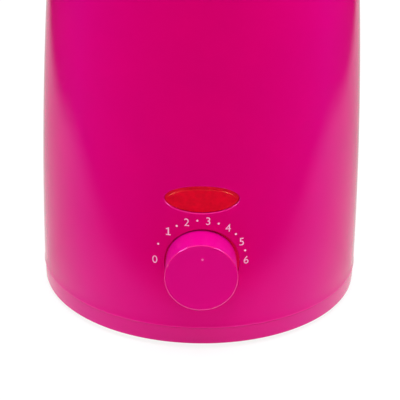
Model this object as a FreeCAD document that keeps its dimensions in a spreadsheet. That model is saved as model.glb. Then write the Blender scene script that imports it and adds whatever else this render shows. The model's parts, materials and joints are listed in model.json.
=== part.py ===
import FreeCAD, Part
import math
import os
import re
import Sketcher

# A salon wax warmer: a tall barrel-shaped casing round a heated well, with a lift-out wax pot,
# a see-through cover, a thermostat knob and an oval indicator lens on the front.
# Millimetres. +Z is up, the front faces -Y, and the origin is under the middle of the feet.

Vector = FreeCAD.Vector
doc = FreeCAD.newDocument("wax_warmer")
sheet = doc.addObject("Spreadsheet::Sheet", "dims")

DIMENSIONS = {
    # Wax pot and the well that heats it
    "pot_radius": 50.0,
    "pot_depth": 112.2,
    "pot_wall": 1.2,
    "pot_floor": 1.5,
    "pot_corner": 6.0,
    "pot_flange": 1.4,
    "flange_gap": 0.3,
    "flange_reach": 2.6,
    "pot_gap": 1.0,
    "well_wall": 1.5,
    "well_floor": 2.0,
    "well_level": 64.0,
    "well_flange": 1.5,
    "gasket_height": 1.5,
    "gasket_width": 4.0,
    "opening_clearance": 1.3,
    "ledge_width": 5.4,
    "ledge_wall": 3.0,
    "seat_clearance": 0.4,
    # Barrel of the outer shell
    "jacket_space": 21.7,
    "belly_level": 10.0,
    "shoulder_draw": 7.6,
    "shell_wall": 2.5,
    "shoulder_round": 6.0,
    "flare_reach": 0.4,
    "flare_height": 1.6,
    "shell_edge": 0.5,
    "seam_level": 10.0,
    "seam_gap": 0.4,
    # Base cover and feet
    "foot_stand": 2.0,
    "foot_radius": 6.5,
    "foot_seat": 1.0,
    "foot_inset": 17.3,
    "base_inset": 0.1,
    "base_draft": 0.2,
    "base_floor": 2.5,
    "base_edge": 0.5,
    "spigot_rise": 5.0,
    "spigot_wall": 1.8,
    "spigot_clearance": 0.5,
    "vent_start": 16.0,
    "vent_length": 17.0,
    "vent_width": 3.5,
    "vent_count": 8,
    # Screws that hold the base, the plate and the small pieces
    "base_boss_inset": 10.9,
    "base_boss_radius": 4.6,
    "base_boss_rise": 20.0,
    "base_rib_width": 3.0,
    "base_screw_radius": 1.75,
    "base_screw_head": 3.3,
    "base_screw_depth": 4.0,
    "base_screw_length": 18.0,
    "head_height": 2.0,
    "head_clearance": 0.3,
    "shank_clearance": 0.2,
    "thread_clearance": 0.05,
    # Heater stack under the well
    "heater_radius": 45.0,
    "heater_thick": 1.2,
    "heater_pad": 3.0,
    "plate_thick": 1.2,
    "plate_lip": 1.0,
    "arm_width": 10.0,
    "arm_end": 2.6,
    "plate_boss_inset": 6.9,
    "plate_boss_radius": 4.2,
    "plate_boss_rise": 14.0,
    "plate_screw_radius": 1.5,
    "plate_screw_head": 2.8,
    "plate_screw_length": 11.0,
    "stud_radius": 3.0,
    "stud_clearance": 0.3,
    "stud_spare": 2.5,
    "washer_radius": 7.0,
    "washer_thick": 1.2,
    "nut_across": 10.0,
    "nut_height": 5.0,
    "heater_tab_side": 14.0,
    "heater_tab_back": 20.0,
    "heater_tab_length": 12.0,
    "heater_tab_hole": 4.5,
    "tab_width": 6.3,
    "tab_thick": 0.8,
    # Insulation and temperature sensing on the well's side
    "sleeve_gap": 0.2,
    "sleeve_thick": 7.0,
    "sleeve_start": 6.0,
    "sleeve_room": 6.0,
    "bulb_radius": 2.5,
    "bulb_length": 50.0,
    "bulb_clearance": 0.15,
    "capillary_radius": 0.9,
    # Thermostat behind the front wall
    "knob_level": 42.8,
    "pocket_depth": 3.0,
    "cup_wall": 2.0,
    "bracket_thick": 1.2,
    "bracket_height": 22.0,
    "body_width": 30.0,
    "body_height": 26.0,
    "body_depth": 22.0,
    "thermostat_spacing": 20.0,
    "thermostat_screw_radius": 1.5,
    "thermostat_head_radius": 2.6,
    "thermostat_screw_length": 6.0,
    "blade_side": 8.0,
    "blade_drop": 3.0,
    "blade_length": 8.0,
    "shaft_radius": 3.0,
    "shaft_fit": 0.05,
    "shaft_room": 0.6,
    "shaft_depth": 8.0,
    "shaft_flat": 1.0,
    # Control knob
    "knob_radius": 15.9,
    "knob_draft": 0.3,
    "knob_reach": 13.9,
    "knob_face": 3.0,
    "knob_skirt": 2.0,
    "knob_edge": 0.7,
    "knob_float": 0.8,
    "pocket_clearance": 0.6,
    "hub_radius": 6.0,
    "hub_float": 3.5,
    "hub_roof": 1.0,
    "pointer_offset": 9.0,
    "pointer_radius": 1.0,
    "pointer_depth": 0.3,
    # Indicator lens, lamp and lamp holder
    "lens_level": 72.8,
    "lens_width": 32.0,
    "lens_height": 12.2,
    "lens_end": 3.4,
    "lens_clearance": 0.15,
    "lens_recess": 0.9,
    "lens_lip": 1.6,
    "lens_lip_thick": 1.4,
    "lens_seat": 0.05,
    "holder_width": 30.0,
    "holder_height": 12.0,
    "holder_depth": 6.6,
    "holder_wall": 1.2,
    "holder_end": 3.9,
    "holder_seat": 0.2,
    "ear_plate": 1.5,
    "ear_plate_height": 8.0,
    "ear_plate_reach": 9.0,
    "lamp_boss_side": 20.5,
    "lamp_boss_radius": 2.6,
    "lamp_screw_radius": 1.1,
    "lamp_screw_head": 2.2,
    "lamp_screw_length": 5.0,
    "lamp_head_height": 1.4,
    "lamp_radius": 2.4,
    "lamp_clearance": 0.2,
    # Thermal fuse under the plate
    "fuse_radius": 2.2,
    "fuse_length": 14.0,
    "fuse_side": 26.0,
    "fuse_clip_width": 8.0,
    "fuse_clip_thick": 0.8,
    "fuse_clip_foot": 5.0,
    "fuse_room": 0.15,
    "rivet_radius": 1.25,
    "rivet_head": 2.2,
    "rivet_head_height": 1.0,
    "rivet_clearance": 0.05,
    # Cord gland at the back
    "gland_level": 26.0,
    "gland_bore": 3.3,
    "gland_neck": 4.9,
    "gland_neck_clearance": 0.2,
    "gland_collar": 7.5,
    "gland_collar_thick": 2.5,
    "gland_flange": 8.0,
    "gland_flange_thick": 2.6,
    "gland_nose": 6.2,
    "gland_tip": 4.8,
    "gland_reach": 13.6,
    "gland_wall_gap": 0.3,
    "gland_curve_gap": 0.6,
    # Terminal block on the base floor
    "block_inset": 29.0,
    "block_width": 24.0,
    "block_depth": 16.0,
    "block_height": 12.0,
    "block_screw_radius": 1.5,
    "block_screw_head": 2.8,
    "block_screw_bite": 1.8,
    "terminal_side": 7.5,
    "terminal_fore": 4.5,
    "terminal_radius": 1.8,
    "terminal_sink": 3.0,
    "terminal_proud": 0.8,
    "wire_radius": 1.2,
    "wire_touch": 0.1,
    "wire_bend": 5.0,
    "supply_fore": 24.0,
    "supply_side": 12.0,
    "supply_level": 30.0,
    "supply_rise": 14.0,
    "heater_lead_fore": 22.0,
    "heater_lead_back": 2.0,
    "heater_lead_level": 36.0,
    "link_level": 38.0,
    "link_side": 10.0,
    "link_back": 8.0,
    "return_side": 44.0,
    "return_back": 22.0,
    "return_level": 34.0,
    "return_turn": 26.0,
    "return_rise": 9.0,
    # Bail and its ears on the pot's flange
    "lid_overlap": 4.5,
    "ear_gap": 2.0,
    "ear_thick": 1.5,
    "ear_width": 10.0,
    "pivot_rise": 5.2,
    "pivot_clearance": 0.1,
    "bail_wire": 1.5,
    "bail_gap": 1.2,
    "bail_bend": 2.5,
    "bail_hook": 1.0,
    "bail_rest": 0.3,
    "ear_rivet_offset": 4.1,
    # Cover
    "lid_wall": 2.0,
    "lid_rise": 9.3,
    "lid_skirt": 5.0,
    "skirt_gap": 0.7,
    "skirt_wall": 1.8,
    "notch_width": 13.0,
    "notch_depth": 16.0,
    "lid_screw_radius": 1.75,
    "lid_screw_head": 4.0,
    "lid_screw_length": 11.0,
    "lid_screw_seat": 0.15,
    "lid_knob_foot": 9.0,
    "lid_knob_neck": 6.5,
    "lid_knob_radius": 14.0,
    "lid_knob_height": 19.0,
    "lid_knob_band": 4.5,
    "lid_knob_crown": 2.0,
    "lid_knob_round": 1.5,
}

for row, (alias, size) in enumerate(DIMENSIONS.items(), start=1):
    sheet.set(f"A{row}", alias)
    sheet.set(f"B{row}", str(size))
    sheet.setAlias(f"B{row}", alias)
doc.recompute()


def bound(formula):
    """The formula with each dimension written as a cell of the sheet."""
    return re.sub(r"[a-z]+(?:_[a-z]+)+", r"dims.\g<0>", str(formula))


def amount(formula):
    """The formula's present value."""
    return float(sheet.evalExpression(bound(formula)))


def bind(item, prop, formula):
    """Tie one property of a document object to the sheet."""
    item.setExpression(prop, bound(formula))


# Radii, counted outward from the pot
well_inside = "(pot_radius + pot_wall + pot_gap)"
well_outside = f"({well_inside} + well_wall)"
opening = f"({well_outside} + opening_clearance)"
seat = f"({opening} + ledge_width)"
flange = f"({seat} + flange_reach)"
belly = f"({well_outside} + jacket_space)"
base_radius = f"({belly} - base_inset)"
lid_radius = "(pot_radius + lid_overlap)"
block_back = f"({base_radius} - block_inset)"

# Levels, counted upward from the feet
floor_level = "(foot_stand + base_floor)"
shell_bottom = "(seam_level + seam_gap)"
rim = "(well_level + pot_floor + pot_depth)"
flange_under = f"({rim} - pot_flange)"
deck = f"({flange_under} - flange_gap)"
seat_level = f"({deck} - well_flange - gasket_height)"
ledge_under = f"({seat_level} - ledge_wall)"
well_under = "(well_level - well_floor)"
pad_top = f"({well_under} - heater_thick)"
plate_top = f"({pad_top} - heater_pad)"
plate_under = f"({plate_top} - plate_thick)"
pivot_level = f"({rim} + pivot_rise)"


# Radius of the barrel's upright curve, from how far the deck draws in from the belly
barrel_curve = f"((({deck} - belly_level)^2 + shoulder_draw^2) / (2 * shoulder_draw))"


def barrel(level, inset="0"):
    """Radius of the barrel at a level, on a curve that lies inset inside the outer face."""
    reach = f"sqrt(({barrel_curve} - ({inset}))^2 - (({level}) - belly_level)^2)"
    return f"({belly} - {barrel_curve} + {reach})"


def around(circle, angle):
    """X and Y of a place on a circle about the upright axis."""
    return f"({circle}) * cos({angle})", f"({circle}) * sin({angle})"


# Distances in front of the upright axis at the knob
pocket_floor = f"({barrel('knob_level')} - pocket_depth)"
cup_back = f"({pocket_floor} - cup_wall)"
bracket_back = f"({cup_back} - bracket_thick)"
body_back = f"({bracket_back} - body_depth)"
knob_front = f"({barrel('knob_level')} + knob_reach)"
knob_back = f"({pocket_floor} + knob_float)"
hub_back = f"({pocket_floor} + hub_float)"
hub_end = f"({knob_front} - knob_face - hub_roof)"

# Rotations that turn an upright primitive
UPRIGHT = FreeCAD.Rotation()
TO_BACK = FreeCAD.Rotation(Vector(1, 0, 0), -90)
TO_RIGHT = FreeCAD.Rotation(Vector(0, 1, 0), 90)
TO_LEFT = FreeCAD.Rotation(Vector(0, 1, 0), -90)

nodes = []


def keep(item, label):
    """Name a finished piece and list it for writing."""
    item.Label = label
    nodes.append(item)
    return item


def place(item, at, turn=UPRIGHT):
    """Put an object at a bound place, with a fixed turn."""
    item.Placement = FreeCAD.Placement(Vector(*[amount(value) for value in at]), turn)
    for axis, value in zip("xyz", at):
        bind(item, f"Placement.Base.{axis}", value)
    return item


def cylinder(name, radius, length, at, turn=UPRIGHT):
    """A bound cylinder that starts at a place."""
    item = doc.addObject("Part::Cylinder", name)
    bind(item, "Radius", radius)
    bind(item, "Height", length)
    return place(item, at, turn)


def block(name, size, at, turn=UPRIGHT):
    """A bound box whose least corner is at a place."""
    item = doc.addObject("Part::Box", name)
    for prop, value in zip(("Length", "Width", "Height"), size):
        bind(item, prop, value)
    return place(item, at, turn)


def spoke(name, size, start, low, angle):
    """A box that lies along a ray from the upright axis, centred on the ray."""
    length, width, height = size
    x, y = around(start, angle)
    corner = (f"{x} + ({width}) / 2 * sin({angle})", f"{y} - ({width}) / 2 * cos({angle})", low)
    return block(name, (length, width, height), corner, FreeCAD.Rotation(Vector(0, 0, 1), angle))


def joined(name, items):
    """Objects fused into one."""
    item = doc.addObject("Part::MultiFuse", name)
    item.Shapes = items
    return item


def less(name, base, tools):
    """One object with others cut out of it."""
    item = doc.addObject("Part::Cut", name)
    item.Base = base
    item.Tool = tools[0] if len(tools) == 1 else joined(f"{name}_tools", tools)
    return item


def shared(name, first, second):
    """What two objects have in common."""
    item = doc.addObject("Part::Common", name)
    item.Base = first
    item.Tool = second
    return item


def group(name, items):
    """Separate solids that share one node."""
    item = doc.addObject("Part::Compound", name)
    item.Links = items
    return item


def plane(body, role):
    """One of a body's own origin planes."""
    return next(feature for feature in body.Origin.OriginFeatures if feature.Role == role)


def outline(body, name, role, points, radii=None, closed=True):
    """A sketch through bound points.

    Each stretch is a line, or an arc where radii holds a radius for its first point: a plain
    number formula turns anticlockwise, and one with a leading minus turns clockwise.
    """
    radii = radii or {}
    sketch = body.newObject("Sketcher::SketchObject", name)
    sketch.AttachmentSupport = [(plane(body, role), "")]
    sketch.MapMode = "FlatFace"
    spots = [Vector(amount(x), amount(y), 0) for x, y in points]
    count = len(points) if closed else len(points) - 1
    ends = []
    for index in range(count):
        start = spots[index]
        end = spots[(index + 1) % len(points)]
        if index not in radii:
            sketch.addGeometry(Part.LineSegment(start, end), False)
            ends.append((1, 2))
            continue
        radius = amount(radii[index])
        chord = end - start
        side = Vector(-chord.y, chord.x, 0).normalize() * math.copysign(1, radius)
        centre = (start + end) * 0.5 + side * math.sqrt(radius**2 - chord.Length**2 / 4)
        first, last = (start, end) if radius > 0 else (end, start)
        angles = [math.atan2(spot.y - centre.y, spot.x - centre.x) for spot in (first, last)]
        circle = Part.Circle(centre, Vector(0, 0, 1), abs(radius))
        sketch.addGeometry(Part.ArcOfCircle(circle, *angles), False)
        ends.append((1, 2) if radius > 0 else (2, 1))
    for index in range(count if closed else count - 1):
        following = (index + 1) % count
        sketch.addConstraint(
            Sketcher.Constraint("Coincident", index, ends[index][1], following, ends[following][0])
        )
    for index, spot in enumerate(points):
        edge = min(index, count - 1)
        end = ends[edge][0] if index < count else ends[edge][1]
        for kind, axis, value in (("DistanceX", -2, spot[0]), ("DistanceY", -1, spot[1])):
            if abs(amount(value)) < 1e-9:
                sketch.addConstraint(Sketcher.Constraint("PointOnObject", edge, end, axis))
                continue
            number = sketch.addConstraint(
                Sketcher.Constraint(kind, -1, 1, edge, end, amount(value))
            )
            bind(sketch, f"Constraints[{number}]", value)
    for index, radius in radii.items():
        number = sketch.addConstraint(Sketcher.Constraint("Radius", index, abs(amount(radius))))
        bind(sketch, f"Constraints[{number}]", f"abs({radius})")
    return sketch


def turned(name, points, radii=None, axis="Z"):
    """A body turned about its Z or Y axis from a profile of radius and place along the axis."""
    body = doc.addObject("PartDesign::Body", name)
    role = "XZ_Plane" if axis == "Z" else "XY_Plane"
    sketch = outline(body, f"{name}_profile", role, points, radii)
    feature = body.newObject("PartDesign::Revolution", f"{name}_turn")
    feature.Profile = sketch
    feature.ReferenceAxis = (sketch, ["V_Axis"])
    feature.Angle = 360
    doc.recompute()
    return body


def rounded(body, radius, places, axis="Z"):
    """Round the circular edges of a turned body that pass through these places of its profile."""
    base = body.Tip
    spots = [(amount(reach), amount(along)) for reach, along in places]
    names = []
    for number, edge in enumerate(base.Shape.Edges, start=1):
        point = edge.firstVertex().Point
        along, across = (point.z, point.y) if axis == "Z" else (point.y, point.z)
        gaps = [math.hypot(math.hypot(point.x, across) - spot[0], along - spot[1]) for spot in spots]
        if not edge.Degenerated and isinstance(edge.Curve, Part.Circle) and min(gaps) < 1e-4:
            names.append(f"Edge{number}")
    feature = body.newObject("PartDesign::Fillet", f"{body.Name}_round")
    feature.Base = (base, names)
    bind(feature, "Radius", radius)
    doc.recompute()
    return body


def prism(name, points, radii, level, depth):
    """An upright outline, drawn as seen from the front, carried from the axis forward."""
    body = doc.addObject("PartDesign::Body", name)
    sketch = outline(body, f"{name}_outline", "XZ_Plane", points, radii)
    feature = body.newObject("PartDesign::Pad", f"{name}_pad")
    feature.Profile = sketch
    bind(feature, "Length", depth)
    place(body, ("0", "0", level))
    doc.recompute()
    return body


def tube(name, points, radius, bend):
    """A round wire along straight runs that are joined by tangent arcs."""
    spots = [Vector(*[amount(value) for value in point]) for point in points]
    edges = []
    start = spots[0]
    for before, corner, after in zip(spots, spots[1:], spots[2:]):
        back = (before - corner).normalize()
        ahead = (after - corner).normalize()
        half = math.acos(max(-1, min(1, back.dot(ahead)))) / 2
        cut = bend / math.tan(half)
        middle = corner + (back + ahead).normalize() * (bend / math.sin(half) - bend)
        edges.append(Part.LineSegment(start, corner + back * cut).toShape())
        edges.append(Part.Arc(corner + back * cut, middle, corner + ahead * cut).toShape())
        start = corner + ahead * cut
    edges.append(Part.LineSegment(start, spots[-1]).toShape())
    spine = Part.Wire(edges)
    ring = Part.Wire(Part.Circle(spots[0], spots[1] - spots[0], amount(radius)).toShape())
    item = doc.addObject("Part::Feature", name)
    item.Shape = spine.makePipeShell([ring], True, False)
    print(name, "length", round(spine.Length, 2), "volume", round(item.Shape.Volume, 2))
    return item


def front_hole(name, radius, side, level, start, end):
    """A cylinder along the front-to-back line, between two distances in front of the axis."""
    return cylinder(name, radius, f"({end}) - ({start})", (side, f"-({end})", level), TO_BACK)


def front_block(name, width, height, side, level, start, end):
    """A box centred on a front-facing place, between two distances in front of the axis."""
    size = (width, f"({end}) - ({start})", height)
    return block(name, size, (f"{side} - ({width}) / 2", f"-({end})", f"{level} - ({height}) / 2"))


def barrel_band(name, outer, inner, low, high):
    """A ring of the barrel between two insets and two levels."""
    points = [
        (barrel(low, inner), low),
        (barrel(low, outer), low),
        (barrel(high, outer), high),
        (barrel(high, inner), high),
    ]
    radii = {1: f"{barrel_curve} - ({outer})", 3: f"-({barrel_curve} - ({inner}))"}
    return turned(name, points, radii)


def screw(name, radius, length, head, head_height, at, turn=UPRIGHT):
    """A pan-head screw whose shank runs along the turned Z from the seat of its head."""
    shank = cylinder(f"{name}_shank", radius, length, at, turn)
    cap = doc.addObject("Part::Cylinder", f"{name}_head")
    bind(cap, "Radius", head)
    bind(cap, "Height", head_height)
    step = turn.multVec(Vector(0, 0, -1))
    shifted = [f"{value} + {shift:.0f} * {head_height}" for value, shift in zip(at, step)]
    place(cap, shifted, turn)
    return joined(name, [shank, cap])


# Outer shell: a thin barrel with a lower flare, a rounded shoulder and a stepped top opening
flare_top = f"({shell_bottom} + flare_height)"
shell_wall_body = turned(
    "shell_wall_turned",
    [
        (barrel(shell_bottom, "shell_wall"), shell_bottom),
        (f"{belly} + flare_reach", shell_bottom),
        (barrel(flare_top), flare_top),
        (barrel(deck), deck),
        (seat, deck),
        (seat, seat_level),
        (opening, seat_level),
        (opening, ledge_under),
        (barrel(ledge_under, "shell_wall"), ledge_under),
    ],
    {2: barrel_curve, 8: f"-({barrel_curve} - shell_wall)"},
)
rounded(shell_wall_body, "shoulder_round", [(barrel(deck), deck)])
rounded(shell_wall_body, "shell_edge", [(f"{belly} + flare_reach", shell_bottom)])

# Bosses reach into the wall and stop at the middle of its thickness
boss_limit = turned(
    "boss_limit",
    [
        ("0", "0"),
        (barrel("0", "shell_wall / 2"), "0"),
        (barrel(deck, "shell_wall / 2"), deck),
        ("0", deck),
    ],
    {1: f"{barrel_curve} - shell_wall / 2"},
)
BASE_BOSS_ANGLES = (45, 135, 225, 315)
PLATE_BOSS_ANGLES = (90, 210, 330)
base_boss_circle = f"({belly} - base_boss_inset)"
plate_boss_circle = f"({belly} - plate_boss_inset)"
spigot_top = "(seam_level + spigot_rise)"
bosses = []
boss_holes = []
for angle in BASE_BOSS_ANGLES:
    x, y = around(base_boss_circle, angle)
    bosses.append(
        cylinder(f"base_boss_{angle}", "base_boss_radius", "base_boss_rise", (x, y, "seam_level"))
    )
    rib_low = f"({spigot_top} + seam_gap)"
    rib_size = ("base_boss_inset", "base_rib_width", "base_boss_rise - spigot_rise - seam_gap")
    bosses.append(spoke(f"base_rib_{angle}", rib_size, base_boss_circle, rib_low, angle))
    boss_holes.append(
        cylinder(
            f"base_pilot_{angle}",
            "base_screw_radius + thread_clearance",
            "base_screw_length",
            (x, y, "foot_stand + base_screw_depth + shank_clearance"),
        )
    )
for angle in PLATE_BOSS_ANGLES:
    x, y = around(plate_boss_circle, angle)
    bosses.append(
        cylinder(f"plate_boss_{angle}", "plate_boss_radius", "plate_boss_rise", (x, y, plate_top))
    )
    boss_holes.append(
        cylinder(
            f"plate_pilot_{angle}",
            "plate_screw_radius + thread_clearance",
            "plate_screw_length",
            (x, y, plate_under),
        )
    )
pocket_radius = "(knob_radius + pocket_clearance)"
lens_face = barrel("lens_level")
flange_back = f"({barrel('lens_level', 'shell_wall + lens_seat + lens_lip_thick')})"
holder_front = f"(sqrt({flange_back}^2 - (holder_width / 2)^2) - holder_seat)"
holder_back = f"({holder_front} - holder_depth)"
ear_front = f"({holder_back} + ear_plate)"
bosses.append(
    front_hole(
        "knob_cup", f"{pocket_radius} + cup_wall", "0", "knob_level", cup_back, barrel("knob_level")
    )
)
for side in ("lamp_boss_side", "-lamp_boss_side"):
    bosses.append(
        front_hole("lamp_boss", "lamp_boss_radius", side, "lens_level", ear_front, lens_face)
    )
    boss_holes.append(
        front_hole(
            "lamp_pilot",
            "lamp_screw_radius + thread_clearance",
            side,
            "lens_level",
            ear_front,
            f"{ear_front} + lamp_screw_length - ear_plate + shank_clearance",
        )
    )


def oval(grow):
    """The lens outline of four tangent arcs, grown outward all round."""
    half_width = f"(lens_width / 2 + {grow})"
    half_height = f"(lens_height / 2 + {grow})"
    end = f"(lens_end + {grow})"
    reach = f"({half_width} - {end})"
    squares = f"({half_width}^2 + {half_height}^2 - 2 * {half_width} * {end})"
    side = f"({squares} / (2 * ({half_height} - {end})))"
    x = f"({reach} + {end} * {reach} / ({side} - {end}))"
    y = f"({end} * ({side} - {half_height}) / ({side} - {end}))"
    points = [(x, f"-{y}"), (x, y), (f"-{x}", y), (f"-{x}", f"-{y}")]
    return points, {0: end, 1: side, 2: end, 3: side}


past_wall = f"({belly} + flare_reach)"
window = prism("lens_window", *oval("0"), "lens_level", past_wall)
pocket = front_hole("knob_pocket", pocket_radius, "0", "knob_level", pocket_floor, past_wall)
shaft_hole = front_hole(
    "shaft_hole", "shaft_radius + shaft_room", "0", "knob_level", body_back, past_wall
)
screw_holes = [
    front_hole(
        "thermostat_hole",
        "thermostat_screw_radius + shank_clearance",
        side,
        "knob_level",
        bracket_back,
        past_wall,
    )
    for side in ("thermostat_spacing / 2", "-thermostat_spacing / 2")
]
gland_room = "(gland_neck + gland_neck_clearance)"
gland_hole = block(
    "gland_hole",
    (f"2 * {gland_room}", past_wall, f"2 * {gland_room}"),
    (f"-{gland_room}", "0", f"gland_level - {gland_room}"),
)
# Reach of the boss limit stays inside the wall, so the cuts come after the fuse
shell_bosses = shared("shell_bosses", joined("boss_set", bosses), boss_limit)
shell_blank = joined("shell_blank", [shell_wall_body, shell_bosses])
shell = less(
    "shell", shell_blank, [window, pocket, shaft_hole, *screw_holes, gland_hole, *boss_holes]
)
keep(shell, "outer_shell")

# Base cover: a dish with a spigot inside the shell, screw bosses, vents and seats for the feet
spigot_radius = f"({barrel(shell_bottom, 'shell_wall')} - spigot_clearance)"
spigot_inside = f"({spigot_radius} - spigot_wall)"
base_dish = turned(
    "base_dish",
    [
        ("0", "foot_stand"),
        (f"{base_radius} - base_draft", "foot_stand"),
        (base_radius, "seam_level"),
        (spigot_radius, "seam_level"),
        (spigot_radius, spigot_top),
        (spigot_inside, spigot_top),
        (spigot_inside, floor_level),
        ("0", floor_level),
    ],
)
rounded(base_dish, "base_edge", [(f"{base_radius} - base_draft", "foot_stand")])
FOOT_ANGLES = (0, 90, 180, 270)
foot_circle = f"({base_radius} - foot_inset)"
head_room = "(base_screw_head + head_clearance)"
base_bosses = []
base_cuts = []
base_screws = []
feet = []
for angle in BASE_BOSS_ANGLES:
    x, y = around(base_boss_circle, angle)
    rise = f"seam_level - {floor_level}"
    base_bosses.append(
        cylinder(f"cover_boss_{angle}", "base_boss_radius", rise, (x, y, floor_level))
    )
    head_seat = "foot_stand + base_screw_depth"
    base_cuts.append(
        cylinder(f"head_room_{angle}", head_room, "base_screw_depth", (x, y, "foot_stand"))
    )
    base_cuts.append(
        cylinder(
            f"cover_hole_{angle}",
            "base_screw_radius + shank_clearance",
            "seam_level",
            (x, y, "foot_stand"),
        )
    )
    base_screws.append(
        screw(
            f"base_screw_{angle}",
            "base_screw_radius",
            "base_screw_length",
            "base_screw_head",
            "head_height",
            (x, y, head_seat),
        )
    )
for angle in FOOT_ANGLES:
    x, y = around(foot_circle, angle)
    base_cuts.append(
        cylinder(f"foot_room_{angle}", "foot_radius + head_clearance", "foot_seat", (x, y, "foot_stand"))
    )
    feet.append(cylinder(f"foot_{angle}", "foot_radius", "foot_stand + foot_seat", (x, y, "0")))
for number in range(int(amount("vent_count"))):
    vent_size = ("vent_length", "vent_width", "2 * base_floor")
    vent_angle = 360 * number / amount("vent_count")
    vent_low = "foot_stand - base_floor / 2"
    base_cuts.append(spoke(f"vent_{number}", vent_size, "vent_start", vent_low, vent_angle))
block_pilot_low = f"({floor_level} - block_screw_bite)"
base_cuts.append(
    cylinder(
        "block_pilot",
        "block_screw_radius + thread_clearance",
        "2 * block_screw_bite",
        ("0", block_back, block_pilot_low),
    )
)
base_blank = joined("base_blank", [base_dish, *base_bosses])
keep(less("base", base_blank, base_cuts), "base_cover")
keep(group("feet", feet), "rubber_feet")
keep(group("base_screw_set", base_screws), "base_screws")

# Heating well: a fixed cup that hangs by its flange, with a clamping stud under its floor
washer_under = f"({plate_under} - washer_thick)"
nut_under = f"({washer_under} - nut_height)"
stud_end = f"({nut_under} - stud_spare)"
well = turned(
    "well",
    [
        ("0", stud_end),
        ("stud_radius", stud_end),
        ("stud_radius", well_under),
        (well_outside, well_under),
        (well_outside, f"{deck} - well_flange"),
        (f"{seat} - seat_clearance", f"{deck} - well_flange"),
        (f"{seat} - seat_clearance", deck),
        (well_inside, deck),
        (well_inside, "well_level"),
        ("0", "well_level"),
    ],
)
keep(well, "heating_well")
gasket_outside = f"({seat} - seat_clearance)"
gasket = turned(
    "gasket",
    [
        (f"{gasket_outside} - gasket_width", seat_level),
        (gasket_outside, seat_level),
        (gasket_outside, f"{seat_level} + gasket_height"),
        (f"{gasket_outside} - gasket_width", f"{seat_level} + gasket_height"),
    ],
)
keep(gasket, "well_gasket")

# Heater stack, clamped up against the well's floor
stud_hole = cylinder("stud_hole", "stud_radius + stud_clearance", well_under, ("0", "0", "0"))
tab_holes = [
    cylinder("heater_tab_hole_cut", "heater_tab_hole", pad_top, (side, "heater_tab_back", "0"))
    for side in ("heater_tab_side", "-heater_tab_side")
]
heater = cylinder("heater", "heater_radius", "heater_thick", ("0", "0", pad_top))
keep(less("heater_cut", heater, [stud_hole]), "heater_disc")
heater_tabs = [
    block(
        "heater_tab",
        ("tab_width", "tab_thick", "heater_tab_length"),
        (f"{side} - tab_width / 2", "heater_tab_back - tab_thick / 2", f"{pad_top} - heater_tab_length"),
    )
    for side in ("heater_tab_side", "-heater_tab_side")
]
keep(group("heater_tab_set", heater_tabs), "heater_tabs")
pad = cylinder("pad", "heater_radius", "heater_pad", ("0", "0", plate_top))
keep(less("pad_cut", pad, [stud_hole, *tab_holes]), "insulation_pad")
plate_disc = cylinder("plate_disc", "heater_radius + plate_lip", "plate_thick", ("0", "0", plate_under))
plate_arms = []
plate_holes = []
plate_screws = []
for angle in PLATE_BOSS_ANGLES:
    x, y = around(plate_boss_circle, angle)
    arm_size = (f"{plate_boss_circle} + arm_end", "arm_width", "plate_thick")
    plate_arms.append(spoke(f"plate_arm_{angle}", arm_size, "0", plate_under, angle))
    plate_holes.append(
        cylinder(f"plate_hole_{angle}", "plate_screw_radius + shank_clearance", plate_top, (x, y, "0"))
    )
    plate_screws.append(
        screw(
            f"plate_screw_{angle}",
            "plate_screw_radius",
            "plate_screw_length",
            "plate_screw_head",
            "head_height",
            (x, y, plate_under),
        )
    )
fuse_level = f"({plate_under} - fuse_clip_thick / 4 - fuse_radius)"
clip_half = "(fuse_radius + fuse_room + fuse_clip_thick)"
rivet_out = f"({clip_half} + fuse_clip_foot / 2)"
rivet_holes = [
    cylinder("rivet_hole", "rivet_radius + rivet_clearance", plate_top, ("-fuse_side", place_y, "0"))
    for place_y in (rivet_out, f"-{rivet_out}")
]
plate_blank = joined("plate_blank", [plate_disc, *plate_arms])
keep(less("plate", plate_blank, [stud_hole, *tab_holes, *plate_holes, *rivet_holes]), "support_plate")
washer = cylinder("washer", "washer_radius", "washer_thick", ("0", "0", washer_under))
keep(less("washer_cut", washer, [stud_hole]), "clamp_washer")
nut = doc.addObject("Part::Prism", "nut")
nut.Polygon = 6
bind(nut, "Circumradius", "nut_across / sqrt(3)")
bind(nut, "Height", "nut_height")
place(nut, ("0", "0", nut_under))
nut_bore = cylinder("nut_bore", "stud_radius + thread_clearance", well_under, ("0", "0", "0"))
keep(less("nut_cut", nut, [nut_bore]), "clamp_nut")
keep(group("plate_screw_set", plate_screws), "plate_screws")

# Felt sleeve round the well, with a groove that holds the sensing bulb against the well
sleeve_low = f"({well_under} + sleeve_start)"
sleeve_high = f"({ledge_under} - sleeve_room)"
sleeve_inside = f"({well_outside} + sleeve_gap)"
sleeve_outside = f"({sleeve_inside} + sleeve_thick)"
sleeve = turned(
    "sleeve",
    [
        (sleeve_inside, sleeve_low),
        (sleeve_outside, sleeve_low),
        (sleeve_outside, sleeve_high),
        (sleeve_inside, sleeve_high),
    ],
)
bulb_place = f"({well_outside} + bulb_clearance + bulb_radius)"
groove_half = "(bulb_radius + bulb_clearance)"
groove_length = "(bulb_length + bulb_clearance)"
groove = joined(
    "bulb_groove",
    [
        cylinder("groove_round", groove_half, groove_length, (bulb_place, "0", sleeve_low)),
        block(
            "groove_mouth",
            (f"{bulb_place} - {well_inside}", f"2 * {groove_half}", groove_length),
            (well_inside, f"-{groove_half}", sleeve_low),
        ),
    ],
)
keep(less("sleeve_cut", sleeve, [groove]), "insulation_sleeve")
keep(cylinder("bulb", "bulb_radius", "bulb_length", (bulb_place, "0", sleeve_low)), "sensor_bulb")

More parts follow.
